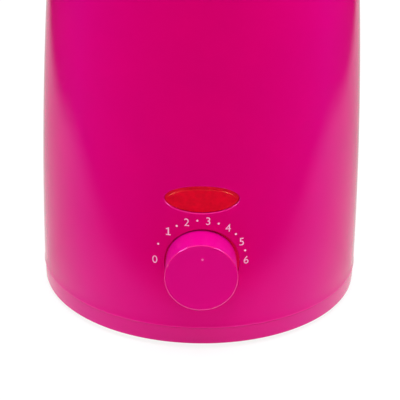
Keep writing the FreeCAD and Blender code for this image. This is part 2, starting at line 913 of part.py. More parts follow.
# Thermostat on its bracket behind the knob cup
bracket = front_block(
    "bracket", "body_width", "bracket_height", "0", "knob_level", bracket_back, cup_back
)
tap_radius = "(thermostat_screw_radius + thread_clearance)"
bracket_taps = [
    front_hole("bracket_tap", tap_radius, side, "knob_level", bracket_back, cup_back)
    for side in ("thermostat_spacing / 2", "-thermostat_spacing / 2")
]
keep(less("bracket_cut", bracket, [shaft_hole, *bracket_taps]), "thermostat_bracket")
thermostat = front_block(
    "thermostat", "body_width", "body_height", "0", "knob_level", body_back, bracket_back
)
shaft_inner = f"({bracket_back} - shaft_depth)"
shaft_bore = front_hole(
    "shaft_bore",
    "shaft_radius + shaft_fit",
    "0",
    "knob_level",
    f"{shaft_inner} - shaft_room",
    bracket_back,
)
screw_room = [
    front_hole(
        "screw_room",
        "thermostat_screw_radius + shank_clearance",
        side,
        "knob_level",
        f"{pocket_floor} - thermostat_screw_length - shank_clearance",
        bracket_back,
    )
    for side in ("thermostat_spacing / 2", "-thermostat_spacing / 2")
]
keep(less("thermostat_cut", thermostat, [shaft_bore, *screw_room]), "thermostat_body")
thermostat_screws = [
    screw(
        f"thermostat_screw_{number}",
        "thermostat_screw_radius",
        "thermostat_screw_length",
        "thermostat_head_radius",
        "head_height",
        (side, f"-{pocket_floor}", "knob_level"),
        TO_BACK,
    )
    for number, side in enumerate(("thermostat_spacing / 2", "-thermostat_spacing / 2"))
]
keep(group("thermostat_screw_set", thermostat_screws), "thermostat_screws")
blade_level = "(knob_level - blade_drop)"
blade_end = f"({body_back} - blade_length)"
blades = [
    front_block("blade", "tab_thick", "tab_width", side, blade_level, blade_end, body_back)
    for side in ("blade_side", "-blade_side")
]
keep(group("blade_set", blades), "thermostat_tabs")

# Knob and shaft, which turn together about the knob's axis
hub_inside = f"({knob_front} - knob_face)"
knob_turned = turned(
    "knob_turned",
    [
        ("0", f"-{knob_front}"),
        ("knob_radius - knob_draft", f"-{knob_front}"),
        ("knob_radius", f"-{knob_back}"),
        ("knob_radius - knob_skirt", f"-{knob_back}"),
        ("knob_radius - knob_draft - knob_skirt", f"-{hub_inside}"),
        ("hub_radius", f"-{hub_inside}"),
        ("hub_radius", f"-{hub_back}"),
        ("0", f"-{hub_back}"),
    ],
    axis="Y",
)
rounded(knob_turned, "knob_edge", [("knob_radius - knob_draft", f"-{knob_front}")], axis="Y")
place(knob_turned, ("0", "0", "knob_level"))


def shaft_form(name, radius, start, end, flat_start, flat_level):
    """A shaft along the knob's axis whose front stretch has a flat on top."""
    rod = front_hole(f"{name}_rod", radius, "0", "knob_level", start, end)
    size = ("4 * shaft_radius", f"({end}) - ({flat_start})", "2 * shaft_radius")
    corner = ("-2 * shaft_radius", f"-({end})", f"knob_level + {flat_level}")
    return less(name, rod, [block(f"{name}_flat", size, corner)])


flat_level = "(shaft_radius - shaft_flat)"
hub_bore = shaft_form(
    "hub_bore", "shaft_radius + shaft_fit", hub_back, hub_end, hub_back, f"{flat_level} + shaft_fit"
)
dimple = front_hole(
    "pointer_dimple",
    "pointer_radius",
    "0",
    "knob_level + pointer_offset",
    f"{knob_front} - pointer_depth",
    f"{knob_front} + pointer_depth",
)
keep(less("knob", knob_turned, [hub_bore, dimple]), "control_knob")
shaft_tip = f"({hub_end} - thread_clearance)"
shaft = shaft_form(
    "shaft", "shaft_radius", shaft_inner, shaft_tip, f"{hub_back} - shaft_room", flat_level
)
keep(shaft, "thermostat_shaft")

# Indicator lens, trapped between the wall and the lamp holder
past_lens = "lens_height"
lens_low = f"(lens_level - {past_lens})"
lens_high = f"(lens_level + {past_lens})"
lens_front = shared(
    "lens_front",
    prism("lens_plug", *oval("(-lens_clearance)"), "lens_level", past_wall),
    barrel_band(
        "lens_plug_band",
        "lens_recess",
        "shell_wall + lens_seat + lens_lip_thick / 2",
        lens_low,
        lens_high,
    ),
)
lens_back = shared(
    "lens_back",
    prism("lens_lip_prism", *oval("lens_lip"), "lens_level", past_wall),
    barrel_band(
        "lens_lip_band",
        "shell_wall + lens_seat",
        "shell_wall + lens_seat + lens_lip_thick",
        lens_low,
        lens_high,
    ),
)
keep(joined("lens", [lens_front, lens_back]), "indicator_lens")

# Lamp holder: an open box behind the lens with two ears, and the lamp that lies in it
holder_box = front_block(
    "holder_box", "holder_width", "holder_height", "0", "lens_level", holder_back, holder_front
)
holder_ears = front_block(
    "holder_ears",
    "holder_width + 2 * ear_plate_reach",
    "ear_plate_height",
    "0",
    "lens_level",
    holder_back,
    ear_front,
)
holder_cavity = front_block(
    "holder_cavity",
    "holder_width - 2 * holder_end",
    "holder_height - 2 * holder_wall",
    "0",
    "lens_level",
    f"{holder_back} + holder_wall",
    past_wall,
)
ear_holes = [
    front_hole(
        "ear_hole", "lamp_screw_radius + shank_clearance", side, "lens_level", sleeve_inside, past_wall
    )
    for side in ("lamp_boss_side", "-lamp_boss_side")
]
holder_blank = joined("holder_blank", [holder_box, holder_ears])
keep(less("holder", holder_blank, [holder_cavity, *ear_holes]), "lamp_holder")
lamp_screws = [
    screw(
        f"lamp_screw_{number}",
        "lamp_screw_radius",
        "lamp_screw_length",
        "lamp_screw_head",
        "lamp_head_height",
        (side, f"-{holder_back}", "lens_level"),
        FreeCAD.Rotation(Vector(1, 0, 0), 90),
    )
    for number, side in enumerate(("lamp_boss_side", "-lamp_boss_side"))
]
keep(group("lamp_screw_set", lamp_screws), "lamp_holder_screws")
lamp_half = "(holder_width / 2 - holder_end - lamp_clearance)"
lamp_back = f"({holder_back} + holder_wall + lamp_clearance + lamp_radius)"
lamp = cylinder(
    "lamp", "lamp_radius", f"2 * {lamp_half}", (f"-{lamp_half}", f"-{lamp_back}", "lens_level"), TO_RIGHT
)
keep(lamp, "neon_lamp")

# Thermal fuse, strapped under the plate
fuse = cylinder(
    "fuse",
    "fuse_radius",
    "fuse_length",
    ("-fuse_side - fuse_length / 2", "0", fuse_level),
    TO_RIGHT,
)
keep(fuse, "thermal_fuse")
clip_low = f"({fuse_level} - fuse_radius - fuse_room - fuse_clip_thick)"
clip_x = "-fuse_side - fuse_clip_width / 2"
clip_hat = block(
    "clip_hat",
    ("fuse_clip_width", f"2 * {clip_half}", f"{plate_under} - {clip_low}"),
    (clip_x, f"-{clip_half}", clip_low),
)
clip_room = block(
    "clip_room",
    ("2 * fuse_clip_width", f"2 * ({clip_half} - fuse_clip_thick)", f"{plate_under} - {clip_low}"),
    ("-fuse_side - fuse_clip_width", f"-({clip_half} - fuse_clip_thick)", f"{clip_low} + fuse_clip_thick"),
)
clip_feet = block(
    "clip_feet",
    ("fuse_clip_width", f"2 * ({clip_half} + fuse_clip_foot)", "fuse_clip_thick"),
    (clip_x, f"-({clip_half} + fuse_clip_foot)", f"{plate_under} - fuse_clip_thick"),
)
clip_blank = joined("clip_blank", [clip_hat, clip_feet])
keep(less("clip", clip_blank, [clip_room, *rivet_holes]), "fuse_clip")
fuse_rivets = [
    screw(
        f"fuse_rivet_{number}",
        "rivet_radius",
        "plate_thick + fuse_clip_thick",
        "rivet_head",
        "rivet_head_height",
        ("-fuse_side", place_y, f"{plate_under} - fuse_clip_thick"),
    )
    for number, place_y in enumerate((rivet_out, f"-{rivet_out}"))
]
keep(group("fuse_rivet_set", fuse_rivets), "fuse_rivets")

# Cord gland: a bush with a tapering nose and a square neck that can't turn in the back wall
gland_inside = f"({barrel('gland_level', 'shell_wall')} - gland_curve_gap)"
gland_start = f"({gland_inside} - gland_collar_thick)"
gland_outside = f"({barrel('gland_level')} + gland_wall_gap)"
gland_shoulder = f"({gland_outside} + gland_flange_thick)"
gland_end = f"({barrel('gland_level')} + gland_reach)"
gland_collar = turned(
    "gland_collar_turned",
    [
        ("gland_bore", gland_start),
        ("gland_collar", gland_start),
        ("gland_collar", gland_inside),
        ("gland_bore", gland_inside),
    ],
    axis="Y",
)
gland_nose = turned(
    "gland_nose_turned",
    [
        ("gland_bore", gland_outside),
        ("gland_flange", gland_outside),
        ("gland_flange", gland_shoulder),
        ("gland_nose", gland_shoulder),
        ("gland_tip", gland_end),
        ("gland_bore", gland_end),
    ],
    axis="Y",
)
for gland_end_piece in (gland_collar, gland_nose):
    place(gland_end_piece, ("0", "0", "gland_level"))
gland_neck_block = block(
    "gland_neck_block",
    ("2 * gland_neck", f"{gland_outside} - {gland_inside}", "2 * gland_neck"),
    ("-gland_neck", gland_inside, "gland_level - gland_neck"),
)
gland_passage = cylinder("gland_passage", "gland_bore", gland_end, ("0", "0", "gland_level"), TO_BACK)
gland_blank = joined("gland_blank", [gland_collar, gland_neck_block, gland_nose])
keep(less("gland", gland_blank, [gland_passage]), "cord_gland")

# Terminal block on the base floor, in front of the gland
block_top = f"({floor_level} + block_height)"
block_solid = block(
    "block_solid",
    ("block_width", "block_depth", "block_height"),
    ("-block_width / 2", f"{block_back} - block_depth / 2", floor_level),
)
block_bore = cylinder(
    "block_bore",
    "block_screw_radius + shank_clearance",
    "2 * block_height",
    ("0", block_back, floor_level),
)
terminal_rooms = []
terminals = []
for side in ("terminal_side", "-terminal_side"):
    for fore in ("terminal_fore", "-terminal_fore"):
        spot = (side, f"{block_back} + {fore}", f"{block_top} - terminal_sink")
        terminal_rooms.append(
            cylinder("terminal_room", "terminal_radius + thread_clearance", "2 * terminal_sink", spot)
        )
        terminals.append(cylinder("terminal", "terminal_radius", "terminal_sink + terminal_proud", spot))
keep(less("block_cut", block_solid, [block_bore, *terminal_rooms]), "terminal_block")
keep(group("terminal_set", terminals), "terminal_screws")
block_fixing = screw(
    "block_fixing",
    "block_screw_radius",
    "block_height + block_screw_bite - thread_clearance",
    "block_screw_head",
    "head_height",
    ("0", block_back, block_top),
    FreeCAD.Rotation(Vector(1, 0, 0), 180),
)
keep(block_fixing, "block_screw")

# Wax pot with two ears for its bail
pot_outside = "(pot_radius + pot_wall)"
pot_turned = turned(
    "pot_turned",
    [
        ("0", "well_level"),
        (pot_outside, "well_level"),
        (pot_outside, flange_under),
        (flange, flange_under),
        (flange, rim),
        ("pot_radius", rim),
        ("pot_radius", "well_level + pot_floor"),
        ("0", "well_level + pot_floor"),
    ],
)
rounded(pot_turned, "pot_corner + pot_wall", [(pot_outside, "well_level")])
rounded(pot_turned, "pot_corner", [("pot_radius", "well_level + pot_floor")])
rounded(pot_turned, "pot_flange / 3", [(flange, flange_under), (flange, rim), ("pot_radius", rim)])
ear_inner = f"({lid_radius} + ear_gap)"
ear_outer = f"({ear_inner} + ear_thick)"
ear_rivet_place = f"({ear_inner} + ear_rivet_offset)"
foot_top = f"({rim} + ear_thick)"
ears = []
ear_rivets = []
flange_holes = []
for sign, turn in (("", TO_RIGHT), ("-", TO_LEFT)):
    side = "right" if sign == "" else "left"
    foot_start = ear_inner if sign == "" else f"-({flange})"
    tab_start = ear_inner if sign == "" else f"-({ear_outer})"
    foot = block(
        f"ear_foot_{side}",
        (f"{flange} - {ear_inner}", "ear_width", "ear_thick"),
        (foot_start, "-ear_width / 2", rim),
    )
    tab = block(
        f"ear_tab_{side}",
        ("ear_thick", "ear_width", "pivot_rise"),
        (tab_start, "-ear_width / 2", rim),
    )
    crown = cylinder(
        f"ear_crown_{side}",
        "ear_width / 2",
        "ear_thick",
        (f"{sign}{ear_inner}", "0", pivot_level),
        turn,
    )
    pivot_hole = cylinder(
        f"pivot_hole_{side}",
        "bail_wire + pivot_clearance",
        "2 * ear_thick",
        (f"{sign}({ear_inner} - ear_thick / 2)", "0", pivot_level),
        turn,
    )
    rivet_spot = f"{sign}{ear_rivet_place}"
    rivet_cut = cylinder(
        f"ear_rivet_hole_{side}",
        "rivet_radius + rivet_clearance",
        "2 * ear_thick + pot_flange",
        (rivet_spot, "0", flange_under),
    )
    flange_holes.append(rivet_cut)
    ear_blank = joined(f"ear_blank_{side}", [foot, tab, crown])
    ears.append(less(f"ear_{side}", ear_blank, [pivot_hole, rivet_cut]))
    ear_rivets.append(
        screw(
            f"ear_rivet_{side}",
            "rivet_radius",
            "ear_thick + pot_flange",
            "rivet_head",
            "rivet_head_height",
            (rivet_spot, "0", foot_top),
            FreeCAD.Rotation(Vector(1, 0, 0), 180),
        )
    )
keep(less("pot", pot_turned, flange_holes), "wax_pot")
keep(group("ear_set", ears), "bail_ears")
keep(group("ear_rivet_set", ear_rivets), "ear_rivets")

# Bail: a wire bow with a hook through each ear, lying back on the pot's flange
bail_side = f"({ear_outer} + bail_gap + bail_wire)"
hook_end = f"({ear_inner} - bail_hook)"
bail = doc.addObject("PartDesign::Body", "bail")
bail_path = outline(
    bail,
    "bail_path",
    "XY_Plane",
    [
        (hook_end, "0"),
        (f"{bail_side} - bail_bend", "0"),
        (bail_side, "bail_bend"),
        ("0", f"{bail_side} + bail_bend"),
        (f"-{bail_side}", "bail_bend"),
        (f"-({bail_side} - bail_bend)", "0"),
        (f"-{hook_end}", "0"),
    ],
    {1: "bail_bend", 2: bail_side, 3: bail_side, 4: "bail_bend"},
    closed=False,
)
bail_ring = bail.newObject("Sketcher::SketchObject", "bail_ring")
bail_ring.AttachmentSupport = [(plane(bail, "YZ_Plane"), "")]
bail_ring.MapMode = "FlatFace"
bind(bail_ring, "AttachmentOffset.Base.z", hook_end)
bail_ring.addGeometry(Part.Circle(Vector(0, 0, 0), Vector(0, 0, 1), amount("bail_wire")), False)
bail_ring.addConstraint(Sketcher.Constraint("Coincident", 0, 3, -1, 1))
bail_ring.addConstraint(Sketcher.Constraint("Radius", 0, amount("bail_wire")))
bind(bail_ring, "Constraints[1]", "bail_wire")
bail_pipe = bail.newObject("PartDesign::AdditivePipe", "bail_pipe")
bail_pipe.Profile = bail_ring
bail_pipe.Spine = (bail_path, [])
bail_droop = f"asin((pivot_rise - bail_wire - bail_rest) / ({bail_side} + bail_bend))"
place(bail, ("0", "0", pivot_level), FreeCAD.Rotation(Vector(1, 0, 0), -amount(bail_droop)))
keep(bail, "bail_handle")

# Cover: a low dome with a locating skirt and a notch for the spatula
lid_top = f"({rim} + lid_wall + lid_rise)"
skirt_outside = "(pot_radius - skirt_gap)"
skirt_inside = f"({skirt_outside} - skirt_wall)"
dome_radius = f"(({skirt_outside}^2 + lid_rise^2) / (2 * lid_rise))"
dome_centre = f"({lid_top} - {dome_radius})"
dome_inside = f"({dome_radius} - lid_wall)"
lid_turned = turned(
    "lid_turned",
    [
        ("0", f"{lid_top} - lid_wall"),
        (skirt_inside, f"{dome_centre} + sqrt({dome_inside}^2 - {skirt_inside}^2)"),
        (skirt_inside, f"{rim} - lid_skirt"),
        (skirt_outside, f"{rim} - lid_skirt"),
        (skirt_outside, rim),
        (lid_radius, rim),
        (lid_radius, f"{rim} + lid_wall"),
        (skirt_outside, f"{rim} + lid_wall"),
        ("0", lid_top),
    ],
    {0: f"-{dome_inside}", 7: dome_radius},
)
rounded(lid_turned, "lid_wall / 3", [(lid_radius, rim), (lid_radius, f"{rim} + lid_wall")])
notch_low = f"({rim} - 2 * lid_skirt)"
notch_tall = "(2 * lid_skirt + 2 * lid_rise)"
notch_centre = f"({lid_radius} - notch_depth + notch_width / 2)"
notch_slot = block(
    "notch_slot",
    ("notch_width", f"2 * {lid_radius} - {notch_centre}", notch_tall),
    ("-notch_width / 2", f"-2 * {lid_radius}", notch_low),
)
notch_round = cylinder("notch_round", "notch_width / 2", notch_tall, ("0", f"-{notch_centre}", notch_low))
lid_hole = cylinder("lid_hole", "lid_screw_radius + shank_clearance", lid_top, ("0", "0", rim))
keep(less("lid_cut", lid_turned, [notch_slot, notch_round, lid_hole]), "lid")
lid_knob_top = f"({lid_top} + lid_knob_height)"
band_low = f"({lid_knob_top} - lid_knob_crown - lid_knob_band)"
crown_radius = "((lid_knob_radius^2 + lid_knob_crown^2) / (2 * lid_knob_crown))"
neck_level = f"({lid_top} + lid_knob_foot - lid_knob_neck)"
lid_knob_turned = turned(
    "lid_knob_turned",
    [
        ("0", lid_top),
        ("lid_knob_foot", lid_top),
        ("lid_knob_neck", neck_level),
        ("lid_knob_neck", f"{band_low} - (lid_knob_radius - lid_knob_neck) / 2"),
        ("lid_knob_radius", band_low),
        ("lid_knob_radius", f"{band_low} + lid_knob_band"),
        ("0", lid_knob_top),
    ],
    {5: crown_radius},
)
rounded(
    lid_knob_turned,
    "lid_knob_round",
    [("lid_knob_radius", band_low), ("lid_knob_radius", f"{band_low} + lid_knob_band")],
)
screw_seat = f"({lid_top} - lid_wall - lid_screw_seat)"
lid_screw_tip = f"({screw_seat} + lid_screw_length)"
lid_knob_bore = cylinder(
    "lid_knob_bore",
    "lid_screw_radius + thread_clearance",
    f"{lid_screw_tip} + shank_clearance - {rim}",
    ("0", "0", rim),
)
keep(less("lid_knob_cut", lid_knob_turned, [lid_knob_bore]), "lid_knob")
lid_screw = screw(
    "lid_screw_solid",
    "lid_screw_radius",
    "lid_screw_length",
    "lid_screw_head",
    "head_height",
    ("0", "0", screw_seat),
)
keep(lid_screw, "lid_screw")
doc.recompute()

# Capillary from the thermostat's right side round to the bulb's lower end
body_middle = f"({body_back} + body_depth / 2)"
CAPILLARY_BEND = 6.0
capillary = tube(
    "capillary",
    [
        ("body_width / 2", f"-{body_middle}", "knob_level"),
        ("body_width", f"-{body_middle}", "knob_level"),
        (bulb_place, "-24", "knob_level - 4"),
        (bulb_place, "0", "knob_level + 4"),
        (bulb_place, "0", sleeve_low),
    ],
    "capillary_radius",
    CAPILLARY_BEND,
)
keep(capillary, "capillary_tube")

# Insulated leads, each ending against the tab, fuse or terminal that it feeds
blade_tip = f"-({blade_end} - wire_touch)"
heater_tip = f"({pad_top} - heater_tab_length - wire_touch)"
terminal_top = f"({block_top} + terminal_proud + wire_touch)"
fuse_left = "(-fuse_side - fuse_length / 2 - wire_touch)"
fuse_right = "(-fuse_side + fuse_length / 2 + wire_touch)"
terminal_front = f"({block_back} - terminal_fore)"
terminal_rear = f"({block_back} + terminal_fore)"
routes = {
    "lead_supply": [
        ("-blade_side", blade_tip, blade_level),
        ("-blade_side", "-supply_fore", blade_level),
        ("-supply_side", "0", "supply_level"),
        ("-terminal_side", terminal_front, f"{terminal_top} + supply_rise"),
        ("-terminal_side", terminal_front, terminal_top),
    ],
    "lead_heater": [
        ("blade_side", blade_tip, blade_level),
        ("blade_side", "-heater_lead_fore", blade_level),
        ("heater_tab_side", "heater_lead_back", "heater_lead_level"),
        ("heater_tab_side", "heater_tab_back", "heater_lead_level"),
        ("heater_tab_side", "heater_tab_back", heater_tip),
    ],
    "lead_link": [
        ("-heater_tab_side", "heater_tab_back", heater_tip),
        ("-heater_tab_side", "heater_tab_back", "link_level"),
        ("-link_side", "link_back", "link_level"),
        ("-link_side", "0", fuse_level),
        (fuse_right, "0", fuse_level),
    ],
    "lead_return": [
        (fuse_left, "0", fuse_level),
        ("-return_side", "0", fuse_level),
        ("-return_side", "return_back", "return_level"),
        ("-return_turn", terminal_rear, "supply_level"),
        ("-terminal_side", terminal_rear, f"{terminal_top} + return_rise"),
        ("-terminal_side", terminal_rear, terminal_top),
    ],
}
holder_under = "(lens_level - holder_height / 2 - wire_touch)"
body_top = "(knob_level + body_height / 2 + wire_touch)"
for name, side in (("lead_lamp_right", "blade_side"), ("lead_lamp_left", "-blade_side")):
    routes[name] = [(side, f"-{lamp_back}", holder_under), (side, f"-{lamp_back}", body_top)]
leads = [tube(name, route, "wire_radius", amount("wire_bend")) for name, route in routes.items()]
keep(group("lead_set", leads), "lead_wires")
doc.recompute()

for item in doc.Objects:
    if {"Invalid", "Error"} & set(item.State):
        raise RuntimeError(f"{item.Name} failed: {item.State}")
for node in nodes:
    if node.Shape.isNull() or not node.Shape.isValid() or not node.Shape.Solids:
        raise RuntimeError(f"{node.Label} has no valid solid")
os.makedirs("parts", exist_ok=True)
for node in nodes:
    print(node.Label, len(node.Shape.Solids), round(node.Shape.Volume, 1))
    node.Shape.exportStep(f"parts/{node.Label}.step")
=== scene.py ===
"""Looks of a salon wax warmer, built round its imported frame.

Sizes are written in millimetres and meshes are made in metres. +Z is up, the knob and the
lens face -Y, and the origin is under the middle of the feet.
"""

import json
import logging
import math
from dataclasses import dataclass
from enum import Enum
from functools import partial
from typing import Callable, ClassVar, Iterable, Optional, Sequence

import bpy
from mathutils import Matrix, Quaternion, Vector
from mathutils.geometry import delaunay_2d_cdt

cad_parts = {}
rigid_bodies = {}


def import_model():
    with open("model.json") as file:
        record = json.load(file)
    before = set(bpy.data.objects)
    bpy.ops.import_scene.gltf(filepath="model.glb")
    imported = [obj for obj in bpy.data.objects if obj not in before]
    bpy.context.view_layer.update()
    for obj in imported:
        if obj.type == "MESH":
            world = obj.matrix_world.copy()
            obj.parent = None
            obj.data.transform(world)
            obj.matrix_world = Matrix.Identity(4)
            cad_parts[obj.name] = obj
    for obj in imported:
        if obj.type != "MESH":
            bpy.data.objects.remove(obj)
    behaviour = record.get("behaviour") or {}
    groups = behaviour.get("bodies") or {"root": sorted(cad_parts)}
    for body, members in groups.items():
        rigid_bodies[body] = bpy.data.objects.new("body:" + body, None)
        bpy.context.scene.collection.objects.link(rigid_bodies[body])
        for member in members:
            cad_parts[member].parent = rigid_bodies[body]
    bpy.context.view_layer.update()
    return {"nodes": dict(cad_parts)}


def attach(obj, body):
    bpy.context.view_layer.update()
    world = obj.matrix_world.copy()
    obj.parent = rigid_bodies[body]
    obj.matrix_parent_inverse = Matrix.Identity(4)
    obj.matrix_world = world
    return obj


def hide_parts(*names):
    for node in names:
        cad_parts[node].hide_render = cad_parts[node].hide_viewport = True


LOG = logging.getLogger("wax_warmer")
MM = 0.001
STRIPE = 0.314  # Scale at which a wave texture has one pair of stripes in a unit
ACRYLIC = 1.49  # Index of refraction
NEARNESS = 1e-5  # Places of a fill closer than this are one
MELTED = 1e-6  # A straight run shorter than this has gone into its rounded ends

Colour = tuple[float, float, float]
Spot = tuple[float, float]
Ray = tuple[Vector, Vector]  # A point and a direction
Ring = list[Ray]
Sample = tuple[float, float, float, float]  # Reach, level and the normal along both
Surface = Callable[[float, float], Ray]
Outline = Callable[[float], Ray]
Socket = bpy.types.NodeSocket


class Body(Enum):
    """Bodies of the frame that pieces ride on."""

    HOUSING = "housing"
    KNOB = "knob"
    COVER = "cover"


class Axis(Enum):
    """Axis that a turned piece is turned about."""

    UPRIGHT = "Z"
    FORWARD = "Y"


# Materials


class Shade:
    """A node material under construction, with one principled shader."""

    def __init__(self, name: str) -> None:
        """Start an empty material.

        Args:
            name: Name of the material.
        """
        self.material = bpy.data.materials.new(name)
        self.material.use_nodes = True
        self.tree = self.material.node_tree
        self.tree.nodes.clear()
        self.output = self.node("OutputMaterial")
        self.shader = self.node("BsdfPrincipled")
        self.link(self.shader.outputs["BSDF"], self.output.inputs["Surface"])
        self.place = self.node("TexCoord").outputs["Object"]

    def node(self, kind: str) -> bpy.types.Node:
        """A new shader node of a kind."""
        return self.tree.nodes.new("ShaderNode" + kind)

    def link(self, source: Socket, target: Socket) -> None:
        """Join two sockets."""
        self.tree.links.new(source, target)

    def constant(self, **values: object) -> "Shade":
        """Set sockets of the shader that are the same all over the surface.

        Args:
            values: Socket names, with _ for a space, and their values.

        Returns:
            This material, for chaining.
        """
        for name, value in values.items():
            socket = self.shader.inputs[name.replace("_", " ")]
            if isinstance(value, tuple) and len(value) == 3 and socket.type == "RGBA":
                value = (*value, 1.0)
            socket.default_value = value
        return self

    def math(self, operation: str, first: object, second: object = 0.0) -> Socket:
        """Arithmetic on two values.

        Args:
            operation: Blender's name of the operation.
            first: A socket or a number.
            second: A socket or a number.

        Returns:
            The result's socket.
        """
        node = self.node("Math")
        node.operation = operation
        for socket, value in zip(node.inputs, (first, second)):
            if isinstance(value, Socket):
                self.link(value, socket)
            else:
                socket.default_value = value
        return node.outputs[0]

    def stretched(self, scale: Sequence[float]) -> Socket:
        """Object coordinates scaled along each axis.

        Args:
            scale: Factors along X, Y and Z.

        Returns:
            The vector's socket.
        """
        node = self.node("Mapping")
        self.link(self.place, node.inputs["Vector"])
        node.inputs["Scale"].default_value = tuple(scale)
        return node.outputs["Vector"]

    def turned(self) -> Socket:
        """Distance from the upright axis as X, and height as Z, for marks left by turning.

        Returns:
            The vector's socket.
        """
        parts = self.node("SeparateXYZ")
        self.link(self.place, parts.inputs[0])
        across = self.math("MULTIPLY", parts.outputs["X"], parts.outputs["X"])
        along = self.math("MULTIPLY", parts.outputs["Y"], parts.outputs["Y"])
        reach = self.math("SQRT", self.math("ADD", across, along))
        joined = self.node("CombineXYZ")
        self.link(reach, joined.inputs["X"])
        self.link(parts.outputs["Z"], joined.inputs["Z"])
        return joined.outputs[0]

    def noise(self, size: float, detail: float, place: Optional[Socket] = None) -> Socket:
        """Cloudy noise.

        Args:
            size: Width of its grains.
            detail: Octaves of finer grain.
            place: Coordinates, or none for Object coordinates.

        Returns:
            The value's socket.
        """
        node = self.node("TexNoise")
        node.inputs["Scale"].default_value = 1.0 / (size * MM)
        node.inputs["Detail"].default_value = detail
        self.link(place or self.place, node.inputs["Vector"])
        return node.outputs["Fac"]

    def cells(self, size: float, place: Optional[Socket] = None) -> Socket:
        """Distance to the nearest of scattered points, for flecks and pebbles.

        Args:
            size: Usual distance between the points.
            place: Coordinates, or none for Object coordinates.

        Returns:
            The value's socket.
        """
        node = self.node("TexVoronoi")
        node.inputs["Scale"].default_value = 1.0 / (size * MM)
        self.link(place or self.place, node.inputs["Vector"])
        return node.outputs["Distance"]

    def stripes(self, size: float, place: Optional[Socket] = None) -> Socket:
        """Even slanting stripes.

        Args:
            size: Width of a stripe pair.
            place: Coordinates, or none for Object coordinates.

        Returns:
            The value's socket.
        """
        node = self.node("TexWave")
        node.bands_direction = "DIAGONAL"
        node.inputs["Scale"].default_value = STRIPE / (size * MM)
        self.link(place or self.place, node.inputs["Vector"])
        return node.outputs["Fac"]

    def span(
        self,
        value: Socket,
        low: float = 0.0,
        high: float = 1.0,
        start: float = 0.3,
        end: float = 0.7,
    ) -> Socket:
        """Carry a value from one range to another, clamped.

        Args:
            value: The value.
            low: Result at start.
            high: Result at end.
            start: Lower end of the value's range.
            end: Upper end of the value's range.

        Returns:
            The result's socket.
        """
        node = self.node("MapRange")
        self.link(value, node.inputs["Value"])
        names = ("From Min", "From Max", "To Min", "To Max")
        for name, number in zip(names, (start, end, low, high)):
            node.inputs[name].default_value = number
        return node.outputs["Result"]

    def edges(self, low: float = 0.52, high: float = 0.6) -> Socket:
        """How far a place lies on an outward edge, from 0 to 1."""
        node = self.node("NewGeometry")
        return self.span(node.outputs["Pointiness"], start=low, end=high)

    def tint(self, value: Socket, first: Colour, second: Colour) -> Socket:
        """Mix two colours.

        Args:
            value: 0 for the first colour and 1 for the second.
            first: Linear colour.
            second: Linear colour.

        Returns:
            The colour's socket.
        """
        node = self.node("Mix")
        node.data_type = "RGBA"
        self.link(value, node.inputs["Factor"])
        ends = [socket for socket in node.inputs if socket.type == "RGBA"]
        ends[0].default_value = (*first, 1.0)
        ends[1].default_value = (*second, 1.0)
        return next(socket for socket in node.outputs if socket.type == "RGBA")

    def shades(self, value: Socket, colour: Colour, first: float, second: float) -> Socket:
        """Mix two shades of one colour, given by their factors."""
        return self.tint(value, scaled(colour, first), scaled(colour, second))

    def blend(self, value: Socket, first: Socket, second: Colour) -> Socket:
        """Mix a colour's socket with a fixed colour.

        Args:
            value: 0 for the first colour and 1 for the second.
            first: Socket of the first colour.
            second: Linear colour.

        Returns:
            The colour's socket.
        """
        mixed = self.tint(value, second, second)
        ends = [socket for socket in mixed.node.inputs if socket.type == "RGBA"]
        self.link(first, ends[0])
        return mixed

    def colour(self, socket: Socket) -> None:
        """Use a colour's socket, or a value's for a grey, as the base colour."""
        self.link(socket, self.shader.inputs["Base Color"])

    def rough(self, socket: Socket) -> None:
        """Use a socket as the roughness."""
        self.link(socket, self.shader.inputs["Roughness"])

    def bump(self, height: Socket, depth: float, strength: float) -> "Shade":
        """Raise the surface by a height map.

        Args:
            height: Height from 0 to 1.
            depth: Height of 1.
            strength: Share of the bump that is used.

        Returns:
            This material, for chaining.
        """
        node = self.node("Bump")
        node.inputs["Distance"].default_value = depth * MM
        node.inputs["Strength"].default_value = strength
        self.link(height, node.inputs["Height"])
        self.link(node.outputs["Normal"], self.shader.inputs["Normal"])
        return self


def scaled(colour: Colour, factor: float) -> Colour:
    """A colour made lighter or darker by a factor."""
    return tuple(min(1.0, part * factor) for part in colour)


@dataclass(frozen=True)
class Finish:
    """A surface finish.

    Attributes:
        name: Name of its material.
        colour: Linear base colour.
        roughness: Middle of its roughness.
    """

    name: str
    colour: Colour
    roughness: float

    def material(self) -> bpy.types.Material:
        """The finish's material, made once."""
        return bpy.data.materials.get(self.name) or self.make().material

    def make(self) -> Shade:
        """Build the material's nodes."""
        raise NotImplementedError


